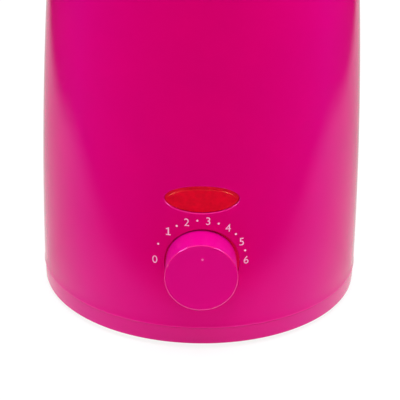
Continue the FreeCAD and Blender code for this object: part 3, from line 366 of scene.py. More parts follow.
@dataclass(frozen=True)
class SatinPlastic(Finish):
    """Moulded plastic with a fine satin grain and paler edges, partly wear and partly a painted
    highlight.

    Attributes:
        grain: Width of the moulded grain.
        shine: Specular level.
        gleam: Tint of its reflections where it is seen face on.
        veil: Weight of the soft gleam, which fades on flanks that turn away.
        wear: How pale its edges are painted, from 0 to 1: partly wear, partly a painted highlight.
        cloud: Width of the faint clouds in its colour.
        rub: Width of the rubbed spots on its edges.
        patch: Width of its duller patches.
        depth: Depth of the grain.
    """

    grain: float = 0.22
    shine: float = 0.5
    gleam: Colour = (1.0, 1.0, 1.0)
    veil: float = 0.0
    wear: float = 0.12
    cloud: float = 34.0
    rub: float = 1.5
    patch: float = 6.0
    depth: float = 0.004

    def make(self) -> Shade:
        """Build the material's nodes.

        Returns:
            The material.
        """
        shade = Shade(self.name).constant(
            Specular_IOR_Level=self.shine,
            Sheen_Roughness=0.8,
            Sheen_Tint=(0.7 * self.gleam[0], 0.0, 0.8 * self.gleam[2]),
            IOR=1.42,
        )
        if self.veil:
            turned = shade.node("LayerWeight").outputs["Facing"]
            veil = shade.span(turned, self.veil, 0.0, 0.4, 0.95)
            shade.link(veil, shade.shader.inputs["Sheen Weight"])
        polished = shade.tint(shade.edges(0.55, 0.62), self.gleam, (1.0, 1.0, 1.0))
        shade.link(polished, shade.shader.inputs["Specular Tint"])
        clouds = shade.span(shade.noise(self.cloud, 3.0))
        body = shade.shades(clouds, self.colour, 0.965, 1.03)
        rubbed = shade.span(shade.noise(self.rub, 3.0), 0.6, 1.0)
        # Paler edges: partly wear, and partly a painted highlight where lamps would catch them
        worn_and_highlit = shade.math("MULTIPLY", shade.edges(0.56, 0.66), rubbed)
        light = tuple(part + (1.0 - part) * self.wear for part in self.colour)
        shade.colour(shade.blend(worn_and_highlit, body, light))
        patches = shade.noise(self.patch, 4.0)
        shade.rough(shade.span(patches, self.roughness - 0.03, self.roughness + 0.04))
        return shade.bump(shade.noise(self.grain, 1.0), self.depth, 0.35)


@dataclass(frozen=True)
class LensPlastic(Finish):
    """Clear-dyed lens plastic with a faint pebbled back that scatters the light.

    Attributes:
        gleam: Tint of its reflections where it is seen face on.
        glint: Linear colour painted on its edges, a painted highlight.
        pebble: Width of the pebbles.
        mottle: Width of the brighter blotches.
        depth: Height of the pebbles.
    """

    gleam: Colour = (1.0, 0.3, 0.14)
    glint: Colour = (0.95, 0.07, 0.02)
    pebble: float = 1.7
    mottle: float = 3.4
    depth: float = 0.012

    def make(self) -> Shade:
        """Build the material's nodes.

        Returns:
            The material.
        """
        shade = Shade(self.name).constant(
            Roughness=self.roughness, IOR=ACRYLIC, Specular_Tint=self.gleam
        )
        pebble = shade.cells(self.pebble, shade.stretched((1.0, 1.0, 1.25)))
        blotch = shade.noise(self.mottle, 3.0)
        mottle = shade.math("ADD", blotch, shade.math("MULTIPLY", pebble, 0.35))
        body = shade.shades(shade.span(mottle, start=0.4, end=0.95), self.colour, 1.0, 1.25)
        # The edges are painted in the glint colour: a painted highlight
        shade.colour(shade.blend(shade.edges(0.54, 0.62), body, self.glint))
        return shade.bump(pebble, self.depth, 0.25)


@dataclass(frozen=True)
class ClearPlastic(Finish):
    """See-through moulded plastic with faint flow lines.

    Attributes:
        haze: Width of its duller patches.
        flow: Width of the flow lines.
        depth: Height of the flow lines.
    """

    haze: float = 9.0
    flow: float = 14.0
    depth: float = 0.02

    def make(self) -> Shade:
        """Build the material's nodes.

        Returns:
            The material.
        """
        shade = Shade(self.name).constant(
            Base_Color=self.colour, IOR=ACRYLIC, Transmission_Weight=1.0, Specular_IOR_Level=0.5
        )
        haze = shade.noise(self.haze, 4.0)
        shade.rough(shade.span(haze, self.roughness, self.roughness + 0.05))
        return shade.bump(shade.noise(self.flow, 2.0), self.depth, 0.2)


@dataclass(frozen=True)
class TurnedMetal(Finish):
    """Metal with the fine rings that spinning or turning leaves.

    Attributes:
        line: Distance between the rings.
        depth: Depth of the rings.
        stain: Width of the faint stains.
    """

    line: float = 0.35
    depth: float = 0.004
    stain: float = 22.0

    def make(self) -> Shade:
        """Build the material's nodes.

        Returns:
            The material.
        """
        shade = Shade(self.name).constant(Metallic=1.0)
        rings = shade.noise(self.line, 3.0, shade.turned())
        stains = shade.noise(self.stain, 4.0)
        body = shade.shades(shade.span(stains), self.colour, 0.9, 1.04)
        bright = shade.math("MULTIPLY", shade.edges(), 0.4)
        shade.colour(shade.blend(bright, body, scaled(self.colour, 1.2)))
        dull = shade.math("ADD", rings, shade.math("MULTIPLY", stains, 0.3))
        shade.rough(shade.span(dull, self.roughness - 0.07, self.roughness + 0.1, 0.4, 0.9))
        return shade.bump(rings, self.depth, 0.5)


@dataclass(frozen=True)
class DrawnMetal(Finish):
    """Drawn wire, plated sheet and small hardware, with fine scratches and dulled patches.

    Attributes:
        scratch: Width of the scratches.
        patch: Width of the dulled patches.
        depth: Depth of the scratches.
    """

    scratch: float = 0.08
    patch: float = 2.6
    depth: float = 0.003

    def make(self) -> Shade:
        """Build the material's nodes.

        Returns:
            The material.
        """
        shade = Shade(self.name).constant(Metallic=1.0)
        lines = shade.noise(self.scratch, 3.0, shade.stretched((0.12, 1.0, 1.0)))
        patches = shade.noise(self.patch, 4.0)
        body = shade.shades(shade.span(patches), self.colour, 0.86, 1.05)
        bright = shade.math("MULTIPLY", shade.edges(), 0.5)
        shade.colour(shade.blend(bright, body, scaled(self.colour, 1.25)))
        shade.rough(shade.span(patches, self.roughness + 0.08, self.roughness - 0.04))
        return shade.bump(lines, self.depth, 0.4)


@dataclass(frozen=True)
class MattMoulding(Finish):
    """Matt moulded plastic or rubber with a pebbled skin.

    Attributes:
        pebble: Width of the pebbles.
        depth: Height of the pebbles.
        dust: Width of the dusty patches.
    """

    pebble: float = 0.4
    depth: float = 0.02
    dust: float = 7.0

    def make(self) -> Shade:
        """Build the material's nodes.

        Returns:
            The material.
        """
        shade = Shade(self.name).constant(Specular_IOR_Level=0.35)
        dust = shade.noise(self.dust, 5.0)
        pale = tuple(part + (0.5 - part) * 0.08 for part in self.colour)
        body = shade.tint(shade.span(dust, start=0.45, end=0.75), self.colour, pale)
        rubbed = shade.math("MULTIPLY", shade.edges(), 0.3)
        shade.colour(shade.blend(rubbed, body, scaled(pale, 1.3)))
        shade.rough(shade.span(dust, self.roughness - 0.06, self.roughness + 0.08))
        return shade.bump(shade.cells(self.pebble), self.depth, 0.5)


@dataclass(frozen=True)
class PressedSheet(Finish):
    """Pressed mineral sheet with bright flakes in it.

    Attributes:
        flake: Width of the flakes.
        depth: Height of the flakes.
    """

    flake: float = 1.6
    depth: float = 0.03

    def make(self) -> Shade:
        """Build the material's nodes.

        Returns:
            The material.
        """
        shade = Shade(self.name).constant(Specular_IOR_Level=0.6)
        flakes = shade.cells(self.flake, shade.stretched((1.0, 1.0, 3.0)))
        shade.colour(shade.shades(shade.span(flakes, start=0.2, end=0.7), self.colour, 1.25, 0.7))
        shade.rough(shade.span(flakes, self.roughness - 0.2, self.roughness, 0.2, 0.7))
        return shade.bump(flakes, self.depth, 0.5)


@dataclass(frozen=True)
class FibreFelt(Finish):
    """Felted heat-proof fibre with stray strands.

    Attributes:
        strand: Width of the strands.
        tuft: Width of the tufts.
        depth: Height of the fibres.
    """

    strand: float = 0.5
    tuft: float = 4.0
    depth: float = 0.35

    def make(self) -> Shade:
        """Build the material's nodes.

        Returns:
            The material.
        """
        shade = Shade(self.name).constant(Sheen_Weight=0.35, Sheen_Roughness=0.6)
        strands = shade.noise(self.strand, 6.0, shade.stretched((0.35, 0.35, 1.0)))
        tufts = shade.math("MULTIPLY", shade.noise(self.tuft, 4.0), 0.4)
        mixed = shade.math("ADD", shade.math("MULTIPLY", strands, 0.6), tufts)
        shade.colour(shade.shades(shade.span(mixed, start=0.35, end=0.65), self.colour, 0.72, 1.06))
        shade.rough(shade.span(mixed, self.roughness, self.roughness + 0.08))
        return shade.bump(mixed, self.depth, 0.7)


@dataclass(frozen=True)
class BraidedSleeve(Finish):
    """Woven glass-fibre sleeve on the leads.

    Attributes:
        strand: Width of a pair of strands.
        depth: Height of the weave.
    """

    strand: float = 0.9
    depth: float = 0.12

    def make(self) -> Shade:
        """Build the material's nodes.

        Returns:
            The material.
        """
        shade = Shade(self.name).constant(Specular_IOR_Level=0.3)
        left = shade.stripes(self.strand)
        right = shade.stripes(self.strand, shade.stretched((-1.0, 1.0, 1.0)))
        braid = shade.math("MULTIPLY", left, right)
        shade.colour(shade.shades(shade.span(braid, start=0.1, end=0.7), self.colour, 0.7, 1.05))
        shade.rough(shade.span(braid, self.roughness + 0.1, self.roughness, 0.0, 1.0))
        return shade.bump(braid, self.depth, 0.7)


@dataclass(frozen=True)
class PrintedInk(Finish):
    """Pad-printed ink with a slightly patchy film.

    Attributes:
        patch: Width of the patches.
        depth: Height of the patches.
    """

    patch: float = 0.45
    depth: float = 0.006

    def make(self) -> Shade:
        """Build the material's nodes.

        Returns:
            The material.
        """
        shade = Shade(self.name).constant(Specular_IOR_Level=0.3)
        film = shade.noise(self.patch, 3.0)
        shade.colour(shade.shades(shade.span(film), self.colour, 0.93, 1.03))
        shade.rough(shade.span(film, self.roughness - 0.08, self.roughness + 0.08))
        return shade.bump(film, self.depth, 0.4)


MAGENTA = SatinPlastic(
    "magenta_satin", (0.65, 0.0, 0.070), 0.12, gleam=(0.88, 0.06, 0.95), veil=0.5
)
MAGENTA_KNOB = SatinPlastic(
    "magenta_knob", (0.70, 0.0, 0.145), 0.36, gleam=(0.85, 0.06, 1.0), veil=0.25, wear=0.3
)
# A bluer copy of the knob's colour for its side: painted light, the hue that the top light gives
# the side
MAGENTA_SIDE_LIT = SatinPlastic(
    "magenta_side_lit", (0.635, 0.0, 0.2), 0.36, gleam=(0.85, 0.04, 1.0), veil=0.25, wear=0.3
)
MAGENTA_BASE = SatinPlastic(
    "magenta_base", (0.67, 0.0, 0.095), 0.2, gleam=(0.85, 0.26, 1.0), veil=0.45
)
# A paler copy of the casing's colour for the strip above the lower edge: a painted highlight line
MAGENTA_SEAM_HIGHLIGHT = SatinPlastic(
    "magenta_seam_highlight", (0.77, 0.0, 0.18), 0.14, shine=0.65, gleam=(1.0, 0.26, 1.0), veil=0.25
)
# A paler copy of the casing's colour for rounded lips and edges: a painted highlight
MAGENTA_LIP_HIGHLIGHT = SatinPlastic(
    "magenta_lip_highlight", (0.69, 0.0, 0.14), 0.14, shine=0.65, gleam=(1.0, 0.26, 1.0), veil=0.25
)
# A redder, lighter copy of the casing's colour for the knob's pocket: painted shade, the colour of
# light bounced in the gap
MAGENTA_POCKET_SHADE = SatinPlastic("magenta_pocket_shade", (0.92, 0.0, 0.09), 0.4, gleam=(1.0, 0.06, 0.4))
LENS_RED = LensPlastic("lens_red", (0.61, 0.0, 0.02), 0.16)
# The lens plastic again, tuned apart for the sloping rim: painted shade for the lip's shadow on it
LENS_RIM_SHADE = LensPlastic("lens_rim_shade_red", (0.68, 0.0, 0.026), 0.2)
COVER_CLEAR = ClearPlastic("cover_clear", (0.93, 0.95, 0.96), 0.03)
POT_METAL = TurnedMetal("pot_spun_aluminium", (0.58, 0.585, 0.595), 0.32)
WELL_METAL = TurnedMetal("well_drawn_aluminium", (0.52, 0.525, 0.53), 0.42, 0.7, 0.008)
BAIL_METAL = DrawnMetal("bail_bright_wire", (0.46, 0.46, 0.47), 0.22)
PLATED = DrawnMetal("plated_steel", (0.44, 0.44, 0.45), 0.34)
COPPER = DrawnMetal("copper_drawn", (0.72, 0.36, 0.22), 0.30)
BRASS = DrawnMetal("brass_stamped", (0.80, 0.60, 0.26), 0.28)
RUBBER = MattMoulding("rubber_black", (0.022, 0.022, 0.025), 0.72, 0.5, 0.03)
BLACK_PLASTIC = MattMoulding("thermostat_black", (0.030, 0.030, 0.034), 0.5)
WHITE_PLASTIC = MattMoulding("ceramic_white", (0.80, 0.79, 0.75), 0.48)
SILICONE = MattMoulding("silicone_red", (0.48, 0.13, 0.08), 0.55, 0.7, 0.01)
MICA = PressedSheet("mica_sheet", (0.60, 0.52, 0.38), 0.55)
FELT = FibreFelt("fibre_felt", (0.82, 0.80, 0.74), 0.85)
LAMP_GLASS = ClearPlastic("lamp_glass", (1.0, 0.86, 0.76), 0.02)
SLEEVE = BraidedSleeve("wire_sleeve", (0.78, 0.76, 0.70), 0.6)
INK = PrintedInk("dial_ink", (1.0, 0.56, 0.82), 0.45)
POINTER_INK = PrintedInk("pointer_ink", (0.95, 0.12, 0.45), 0.4)

NODE_FINISHES: dict[Finish, tuple[str, ...]] = {
    MAGENTA: ("outer_shell",),
    MAGENTA_KNOB: ("control_knob", "lid_knob"),
    MAGENTA_BASE: ("base_cover",),
    LENS_RED: ("indicator_lens",),
    COVER_CLEAR: ("lid",),
    POT_METAL: ("wax_pot",),
    WELL_METAL: ("heating_well",),
    BAIL_METAL: ("bail_handle",),
    PLATED: (
        "base_screws", "support_plate", "clamp_washer", "clamp_nut", "plate_screws",
        "thermostat_bracket", "thermostat_screws", "thermostat_shaft", "lamp_holder_screws",
        "thermal_fuse", "fuse_clip", "fuse_rivets", "block_screw",
        "bail_ears", "ear_rivets", "lid_screw",
    ),
    COPPER: ("sensor_bulb", "capillary_tube"),
    BRASS: ("heater_tabs", "thermostat_tabs", "terminal_screws"),
    RUBBER: ("rubber_feet", "cord_gland"),
    BLACK_PLASTIC: ("thermostat_body",),
    WHITE_PLASTIC: ("lamp_holder", "terminal_block"),
    SILICONE: ("well_gasket",),
    MICA: ("heater_disc",),
    FELT: ("insulation_pad", "insulation_sleeve"),
    LAMP_GLASS: ("neon_lamp",),
    SLEEVE: ("lead_wires",),
}


# Studio


def stand(name: str, data: bpy.types.ID) -> bpy.types.Object:
    """Put a new object into the scene.

    Args:
        name: Its name.
        data: Its mesh, lamp, camera or curve.

    Returns:
        The object.
    """
    thing = bpy.data.objects.new(name, data)
    bpy.context.scene.collection.objects.link(thing)
    return thing


def evaluated(piece: bpy.types.Object) -> bpy.types.Mesh:
    """Turn a piece into the plain mesh that it evaluates to.

    Args:
        piece: The piece. It is used up.

    Returns:
        The mesh.
    """
    bpy.context.view_layer.update()
    graph = bpy.context.evaluated_depsgraph_get()
    mesh = bpy.data.meshes.new_from_object(piece.evaluated_get(graph), depsgraph=graph)
    bpy.data.objects.remove(piece)
    return mesh


@dataclass
class Viewpoint:
    """The camera.

    Attributes:
        distance: From the aim to the lens.
        elevation: Angle above the floor in degrees.
        turn: Angle about the upright axis in degrees, towards +X.
        roll: Angle about the line of sight in degrees.
        aim_level: Height of the aim.
        aside: How far the aim lies beside the upright axis.
        focal_pixels: Focal length in pixels of the image.
        image_pixels: Width of the image in pixels.
        sensor: Width of the sensor.
        depths: Nearest and farthest distance that it shows.
    """

    distance: float = 700.0
    elevation: float = 25.4
    turn: float = -0.6
    roll: float = 0.85
    aim_level: float = 37.6
    aside: float = -0.08
    focal_pixels: float = 1447.0
    image_pixels: float = 400.0
    sensor: float = 36.0
    depths: Spot = (10.0, 20000.0)

    def place(self) -> None:
        """Make the camera and use it."""
        data = bpy.data.cameras.new("viewpoint")
        data.sensor_width = self.sensor
        data.lens = self.sensor * self.focal_pixels / self.image_pixels
        data.clip_start, data.clip_end = (depth * MM for depth in self.depths)
        camera = stand("viewpoint", data)
        rise = math.radians(self.elevation)
        spin = Matrix.Rotation(math.radians(self.turn), 3, "Z")
        aim = spin @ Vector((self.aside, 0.0, self.aim_level)) * MM
        out = spin @ Vector((0.0, -math.cos(rise), math.sin(rise))) * (self.distance * MM)
        camera.location = aim + out
        look = (-out).to_track_quat("-Z", "Y")
        camera.rotation_mode = "QUATERNION"
        camera.rotation_quaternion = look @ Quaternion((0.0, 0.0, 1.0), math.radians(self.roll))
        bpy.context.scene.camera = camera


@dataclass(frozen=True)
class Lamp:
    """A round soft lamp that faces the casing.

    Attributes:
        name: Its name.
        place: Where it hangs.
        size: Its width.
        power: Its power in watts.
        mirrored: Whether it is only seen mirrored and lights no matt surface.
        aim_level: Height of the place that it faces.
    """

    name: str
    place: tuple[float, float, float]
    size: float
    power: float
    mirrored: bool = False
    aim_level: float = 90.0

    def hang(self) -> None:
        """Make the lamp."""
        data = bpy.data.lights.new(self.name, "AREA")
        data.shape = "DISK"
        data.size = self.size * MM
        data.energy = self.power
        lamp = stand(self.name, data)
        lamp.location = Vector(self.place) * MM
        lamp.visible_diffuse = not self.mirrored
        aim = Vector((0.0, 0.0, self.aim_level)) * MM
        lamp.rotation_mode = "QUATERNION"
        lamp.rotation_quaternion = (aim - lamp.location).to_track_quat("-Z", "Y")


@dataclass
class Studio:
    """Pale floor, plain surroundings and soft lamps.

    Attributes:
        floor_size: Side of the floor.
        floor_level: Height of the floor, a touch under the feet.
        floor_whites: Darkest and lightest white of the floor.
        floor_grain: Width of the patches between them.
        seen_glow: Brightness that the view adds to the floor.
        seen_dim: Share of the floor's own white that the view leaves out.
        mirrored_dim: Share of it that polished walls leave out.
        sheet_side: Half width of the white sheet that polished walls mirror.
        sheet_aside: How far its middle lies beside the upright axis.
        sheet_bow: How far its bowed front edge runs forward.
        sheet_back: Where the bow starts, behind the upright axis.
        sheet_rim: Share of its size at which its edge has faded out.
        sheet_fade: Share of its size over which its edge fades.
        sheet_glow: Brightness of the sheet in polished walls.
        near_glow: How much brighter it gets close before the foot.
        near_fade: Distances between which that brightness fades.
        near_front: Y over which it fades from the front to the middle.
        rear_glow: Share of its brightness that is left behind the foot.
        rear_fade: Y over which it falls to that.
        ambient: Strength of the surroundings on matt surfaces.
        lamps: The lamps.
    """

    floor_size: float = 6000.0
    floor_level: float = -0.1
    floor_whites: Spot = (0.78, 0.8)
    floor_grain: float = 40.0
    seen_glow: float = 0.86
    seen_dim: float = 0.8
    mirrored_dim: float = 0.97
    sheet_side: float = 352.0
    sheet_aside: float = 14.0
    sheet_bow: float = 195.0
    sheet_back: float = 60.0
    sheet_rim: float = 1.06
    sheet_fade: float = 0.2
    sheet_glow: float = 0.86
    near_glow: float = 1.9
    near_fade: Spot = (80.0, 170.0)
    near_front: Spot = (-100.0, 0.0)
    rear_glow: float = 0.75
    rear_fade: Spot = (20.0, 150.0)
    ambient: float = 0.67
    lamps: tuple[Lamp, ...] = (
        Lamp("overhead_box", (0.0, -160.0, 1100.0), 900.0, 8.0),
        Lamp("left_box", (-310.0, -40.0, 430.0), 200.0, 0.36),
        Lamp("right_box", (310.0, -40.0, 430.0), 200.0, 0.52),
        Lamp("left_spark", (-600.0, -330.0, 640.0), 480.0, 15.0, mirrored=True),
        Lamp("right_spark", (600.0, -330.0, 640.0), 480.0, 15.0, mirrored=True),
    )

    def build(self) -> None:
        """Make the surroundings, the floor and the lamps."""
        self.surroundings()
        self.floor()
        for lamp in self.lamps:
            lamp.hang()
        bpy.context.scene.view_settings.view_transform = "Standard"

    def surroundings(self) -> None:
        """White surroundings, weaker on matt surfaces than in mirrors and in the view."""
        world = bpy.data.worlds.new("surroundings")
        bpy.context.scene.world = world
        world.use_nodes = True
        tree = world.node_tree
        ground = next(node for node in tree.nodes if node.type == "BACKGROUND")
        ground.inputs["Color"].default_value = (1.0, 1.0, 1.0, 1.0)
        path = tree.nodes.new("ShaderNodeLightPath").outputs
        strength = tree.nodes.new("ShaderNodeMapRange")
        seen = path["Is Camera Ray"]
        for ray in ("Is Glossy Ray", "Is Transmission Ray"):
            either = tree.nodes.new("ShaderNodeMath")
            either.operation = "MAXIMUM"
            tree.links.new(seen, either.inputs[0])
            tree.links.new(path[ray], either.inputs[1])
            seen = either.outputs[0]
        tree.links.new(seen, strength.inputs["Value"])
        strength.inputs["To Min"].default_value = self.ambient
        strength.inputs["To Max"].default_value = 1.0
        tree.links.new(strength.outputs["Result"], ground.inputs["Strength"])

    def floor(self) -> None:
        """A white floor that keeps the shadow, and whose far part is dim in polished walls."""
        half = self.floor_size * MM / 2
        mesh = bpy.data.meshes.new("floor")
        corners = [(-half, -half), (half, -half), (half, half), (-half, half)]
        level = self.floor_level * MM
        mesh.from_pydata([(x, y, level) for x, y in corners], [], [(0, 1, 2, 3)])
        mesh.materials.append(self.floor_coat().material)
        stand("floor", mesh)

    def floor_coat(self) -> Shade:
        """The floor's material, which differs between the view and polished walls.

        Returns:
            The material.
        """
        shade = Shade("floor_white").constant(Specular_IOR_Level=0.0, Roughness=0.9)
        path = shade.node("LightPath").outputs
        seen, mirrored = path["Is Camera Ray"], path["Is Glossy Ray"]
        sheet = shade.math("MULTIPLY", self.sheet(shade), self.sheet_glow)
        level = shade.math(
            "ADD",
            shade.math("MULTIPLY", seen, self.seen_glow),
            shade.math("MULTIPLY", mirrored, sheet),
        )
        dim = shade.math(
            "ADD",
            shade.math("MULTIPLY", seen, self.seen_dim),
            shade.math("MULTIPLY", mirrored, self.mirrored_dim),
        )
        white = shade.span(shade.noise(self.floor_grain, 3.0), *self.floor_whites)
        shade.colour(shade.math("MULTIPLY", white, shade.math("SUBTRACT", 1.0, dim)))
        glow = shade.node("Emission")
        shade.link(level, glow.inputs["Strength"])
        both = shade.node("AddShader")
        shade.link(shade.shader.outputs["BSDF"], both.inputs[0])
        shade.link(glow.outputs["Emission"], both.inputs[1])
        shade.link(both.outputs[0], shade.output.inputs["Surface"])
        return shade

    def sheet(self, shade: Shade) -> Socket:
        """Brightness of the white sheet with its bowed front edge, from place to place.

        Args:
            shade: The floor's material.

        Returns:
            The value's socket.
        """
        parts = shade.node("SeparateXYZ")
        shade.link(shade.place, parts.inputs[0])
        x, y = parts.outputs["X"], parts.outputs["Y"]
        aside = shade.math("ABSOLUTE", shade.math("SUBTRACT", x, self.sheet_aside * MM))
        across = shade.math("DIVIDE", aside, self.sheet_side * MM)
        ahead = shade.math("MAXIMUM", shade.math("SUBTRACT", self.sheet_back * MM, y), 0.0)
        along = shade.math("DIVIDE", ahead, self.sheet_bow * MM)
        squares = [shade.math("POWER", way, 2.0) for way in (across, along)]
        reach = shade.math("SQRT", shade.math("ADD", *squares))
        white = shade.span(reach, 1.0, 0.0, self.sheet_rim - self.sheet_fade, self.sheet_rim)
        away = shade.node("VectorMath")
        away.operation = "LENGTH"
        shade.link(shade.place, away.inputs[0])
        distances, fronts, rears = (
            [end * MM for end in ends] for ends in (self.near_fade, self.near_front, self.rear_fade)
        )
        near = shade.math(
            "MULTIPLY",
            shade.span(away.outputs["Value"], self.near_glow, 0.0, *distances),
            shade.span(y, 1.0, 0.0, *fronts),
        )
        rear = shade.span(y, 1.0, self.rear_glow, *rears)
        return shade.math("MULTIPLY", white, shade.math("ADD", rear, near))


# Shapes


class Mesher:
    """Collects faces in millimetres, with welded corners and a normal for each face corner."""

    WELDS = 20000  # Places in a millimetre that corners snap to

    def __init__(self) -> None:
        """Start with no faces."""
        self.index: dict[tuple[int, ...], int] = {}
        self.points: list[Vector] = []
        self.faces: list[list[int]] = []
        self.normals: list[Vector] = []
        self.finishes: list[Finish] = []
        self.marks: list[int] = []
        self.mark = 0

    def paint(self, finish: Optional[Finish] = None) -> None:
        """Give the faces that follow a finish of their own.

        Args:
            finish: The finish, or none for the piece's own.
        """
        if finish is not None and finish not in self.finishes:
            self.finishes.append(finish)
        self.mark = 0 if finish is None else self.finishes.index(finish) + 1

    def corner(self, point: Vector) -> int:
        """Find or make the corner at a point.

        Args:
            point: The point.

        Returns:
            The corner's number.
        """
        key = tuple(round(part * self.WELDS) for part in point)
        if key not in self.index:
            self.index[key] = len(self.points)
            self.points.append(point)
        return self.index[key]

    def face(self, corners: Iterable[Ray]) -> None:
        """Add a face, wound to agree with its normals.

        Args:
            corners: Point and outward normal of each corner, in order.
        """
        places: list[int] = []
        normals: list[Vector] = []
        for point, normal in corners:
            number = self.corner(point)
            if number not in places:
                places.append(number)
                normals.append(normal)
        if len(places) < 3:
            return
        spots = [self.points[number] for number in places]
        facing = Vector()
        for before, after in zip(spots, spots[1:] + spots[:1]):
            facing += before.cross(after)
        if facing.dot(sum(normals, Vector())) < 0:
            places.reverse()
            normals.reverse()
        self.faces.append(places)
        self.marks.append(self.mark)
        self.normals.extend(normals)

    def strip(self, first: Ring, second: Ring) -> None:
        """Join two closed rings of the same count by a band of quads.

        Args:
            first: Points and normals of one ring.
            second: Points and normals of the other ring.
        """
        count = len(first)
        for number in range(count):
            after = (number + 1) % count
            self.face((first[number], first[after], second[after], second[number]))

    def strips(self, rings: Sequence[Ring]) -> None:
        """Join each ring to the next."""
        for first, second in zip(rings, rings[1:]):
            self.strip(first, second)

    def build(self, name: str, finish: Finish) -> bpy.types.Object:
        """Make the object.

        Args:
            name: Name of the piece.
            finish: Its finish.

        Returns:
            The object, at the origin.
        """
        mesh = bpy.data.meshes.new(name)
        mesh.from_pydata([point * MM for point in self.points], [], self.faces)
        for coat in (finish, *self.finishes):
            mesh.materials.append(coat.material())
        for polygon, mark in zip(mesh.polygons, self.marks):
            polygon.use_smooth = True
            polygon.material_index = mark
        mesh.normals_split_custom_set([normal.normalized() for normal in self.normals])
        return stand(name, mesh)


def settle(piece: bpy.types.Object, body: Body, slot: str, *nodes: str) -> None:
    """Let a finished piece ride its body and stand for nodes of the frame.

    Args:
        piece: The finished piece.
        body: Body that carries it.
        slot: Not used.
        nodes: Nodes that it stands for.
    """
    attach(piece, body.value)
    if nodes:
        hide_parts(*nodes)
    LOG.info("piece %s rides %s with %d faces", piece.name, body.value, len(piece.data.polygons))


@dataclass(frozen=True)
class Bend:
    """A corner of a profile.

    Attributes:
        reach: Distance from the axis.
        level: Place along the axis.
        round: Radius of the corner, or 0 for a sharp one.
        smooth: Whether the profile runs on through it without an edge.
    """

    reach: float
    level: float
    round: float = 0.0
    smooth: bool = False


def profile(bends: Sequence[Bend], closed: bool = True, steps: int = 6) -> list[list[Sample]]:
    """Runs of a profile, with arcs at its rounded corners.

    Args:
        bends: Corners in order. Anticlockwise in reach and level, the outside lies to the right.
        closed: Whether the last corner joins the first.
        steps: Divisions of each arc.

    Returns:
        Runs of samples, each a reach, a level and a normal. A run's ends have its own normals.
    """
    spots = [Vector((bend.reach, bend.level)) for bend in bends]
    count = len(spots)
    starts: list[Vector] = list(spots)
    ends: list[Vector] = list(spots)
    arcs: list[list[Sample]] = [[] for _ in spots]

    def outward(first: Vector, second: Vector) -> Vector:
        """Normal of the straight run between two places."""
        along = (second - first).normalized()
        return Vector((along.y, -along.x))

    for number, bend in enumerate(bends):
        if bend.round <= 0 or (not closed and number in (0, count - 1)):
            continue
        here = spots[number]
        back = (spots[number - 1] - here).normalized()
        ahead = (spots[(number + 1) % count] - here).normalized()
        half = math.acos(max(-1.0, min(1.0, back.dot(ahead)))) / 2
        cut = bend.round / math.tan(half)
        middle = here + (back + ahead).normalized() * (bend.round / math.sin(half))
        starts[number] = here + back * cut
        ends[number] = here + ahead * cut
        before = outward(spots[number - 1], here)
        after = outward(here, spots[(number + 1) % count])
        sign = 1.0 if (starts[number] - middle).dot(before) > 0 else -1.0
        for step in range(steps + 1):
            part = step / steps
            turn = before.slerp(after, part)
            spot = middle + turn * (bend.round * sign)
            arcs[number].append((spot.x, spot.y, turn.x, turn.y))
    runs: list[list[Sample]] = []
    last = count if closed else count - 1
    for number in range(last):
        following = (number + 1) % count
        first, second = ends[number], starts[following]
        if arcs[number]:
            runs.append(arcs[number])
        if (second - first).length < MELTED:
            continue
        flat = outward(first, second)
        near, far = flat, flat
        if bends[number].smooth and (closed or number > 0):
            near = (flat + outward(spots[number - 1], first)).normalized()
        if bends[following].smooth and (closed or following < count - 1):
            far = (flat + outward(second, spots[(following + 1) % count])).normalized()
        runs.append([(first.x, first.y, near.x, near.y), (second.x, second.y, far.x, far.y)])
    return runs


@dataclass(frozen=True)
class Spindle:
    """Turns profiles into rings.

    Attributes:
        axis: Axis that the piece is turned about.
        sectors: Divisions round the axis.
        centre: Place of the axis: X and Y if upright, X and Z if forward.
    """

    axis: Axis = Axis.UPRIGHT
    sectors: int = 96
    centre: Spot = (0.0, 0.0)

    def ring(self, sample: Sample) -> Ring:
        """Carry one sample round the axis.

        Args:
            sample: Its reach, level and normal.

        Returns:
            Points and normals.
        """
        reach, level, out, up = sample
        across, along = self.centre
        ring: Ring = []
        for number in range(self.sectors):
            angle = 2 * math.pi * number / self.sectors
            sine, cosine = math.sin(angle), math.cos(angle)
            if self.axis is Axis.UPRIGHT:
                point = Vector((across + reach * sine, along - reach * cosine, level))
                normal = Vector((out * sine, -out * cosine, up))
            else:
                point = Vector((across + reach * sine, -level, along + reach * cosine))
                normal = Vector((out * sine, -up, out * cosine))
            ring.append((point, normal))
        return ring

    def turn(self, mesher: Mesher, runs: Iterable[Sequence[Sample]]) -> None:
        """Add every run of a profile as bands."""
        for run in runs:
            mesher.strips([self.ring(sample) for sample in run])


@dataclass
class Opening:
    """A closed edge in a wall.

    Attributes:
        places: Angle and level of each corner of the edge, in order.
    """

    places: list[Spot]

    def holds(self, spot: Spot) -> bool:
        """Whether a place lies inside the edge.

        Args:
            spot: Its angle and level.

        Returns:
            True inside.
        """
        inside = False
        for (x1, y1), (x2, y2) in zip(self.places, self.places[1:] + self.places[:1]):
            if (y1 > spot[1]) != (y2 > spot[1]):
                if spot[0] < (x2 - x1) * (spot[1] - y1) / (y2 - y1) + x1:
                    inside = not inside
        return inside


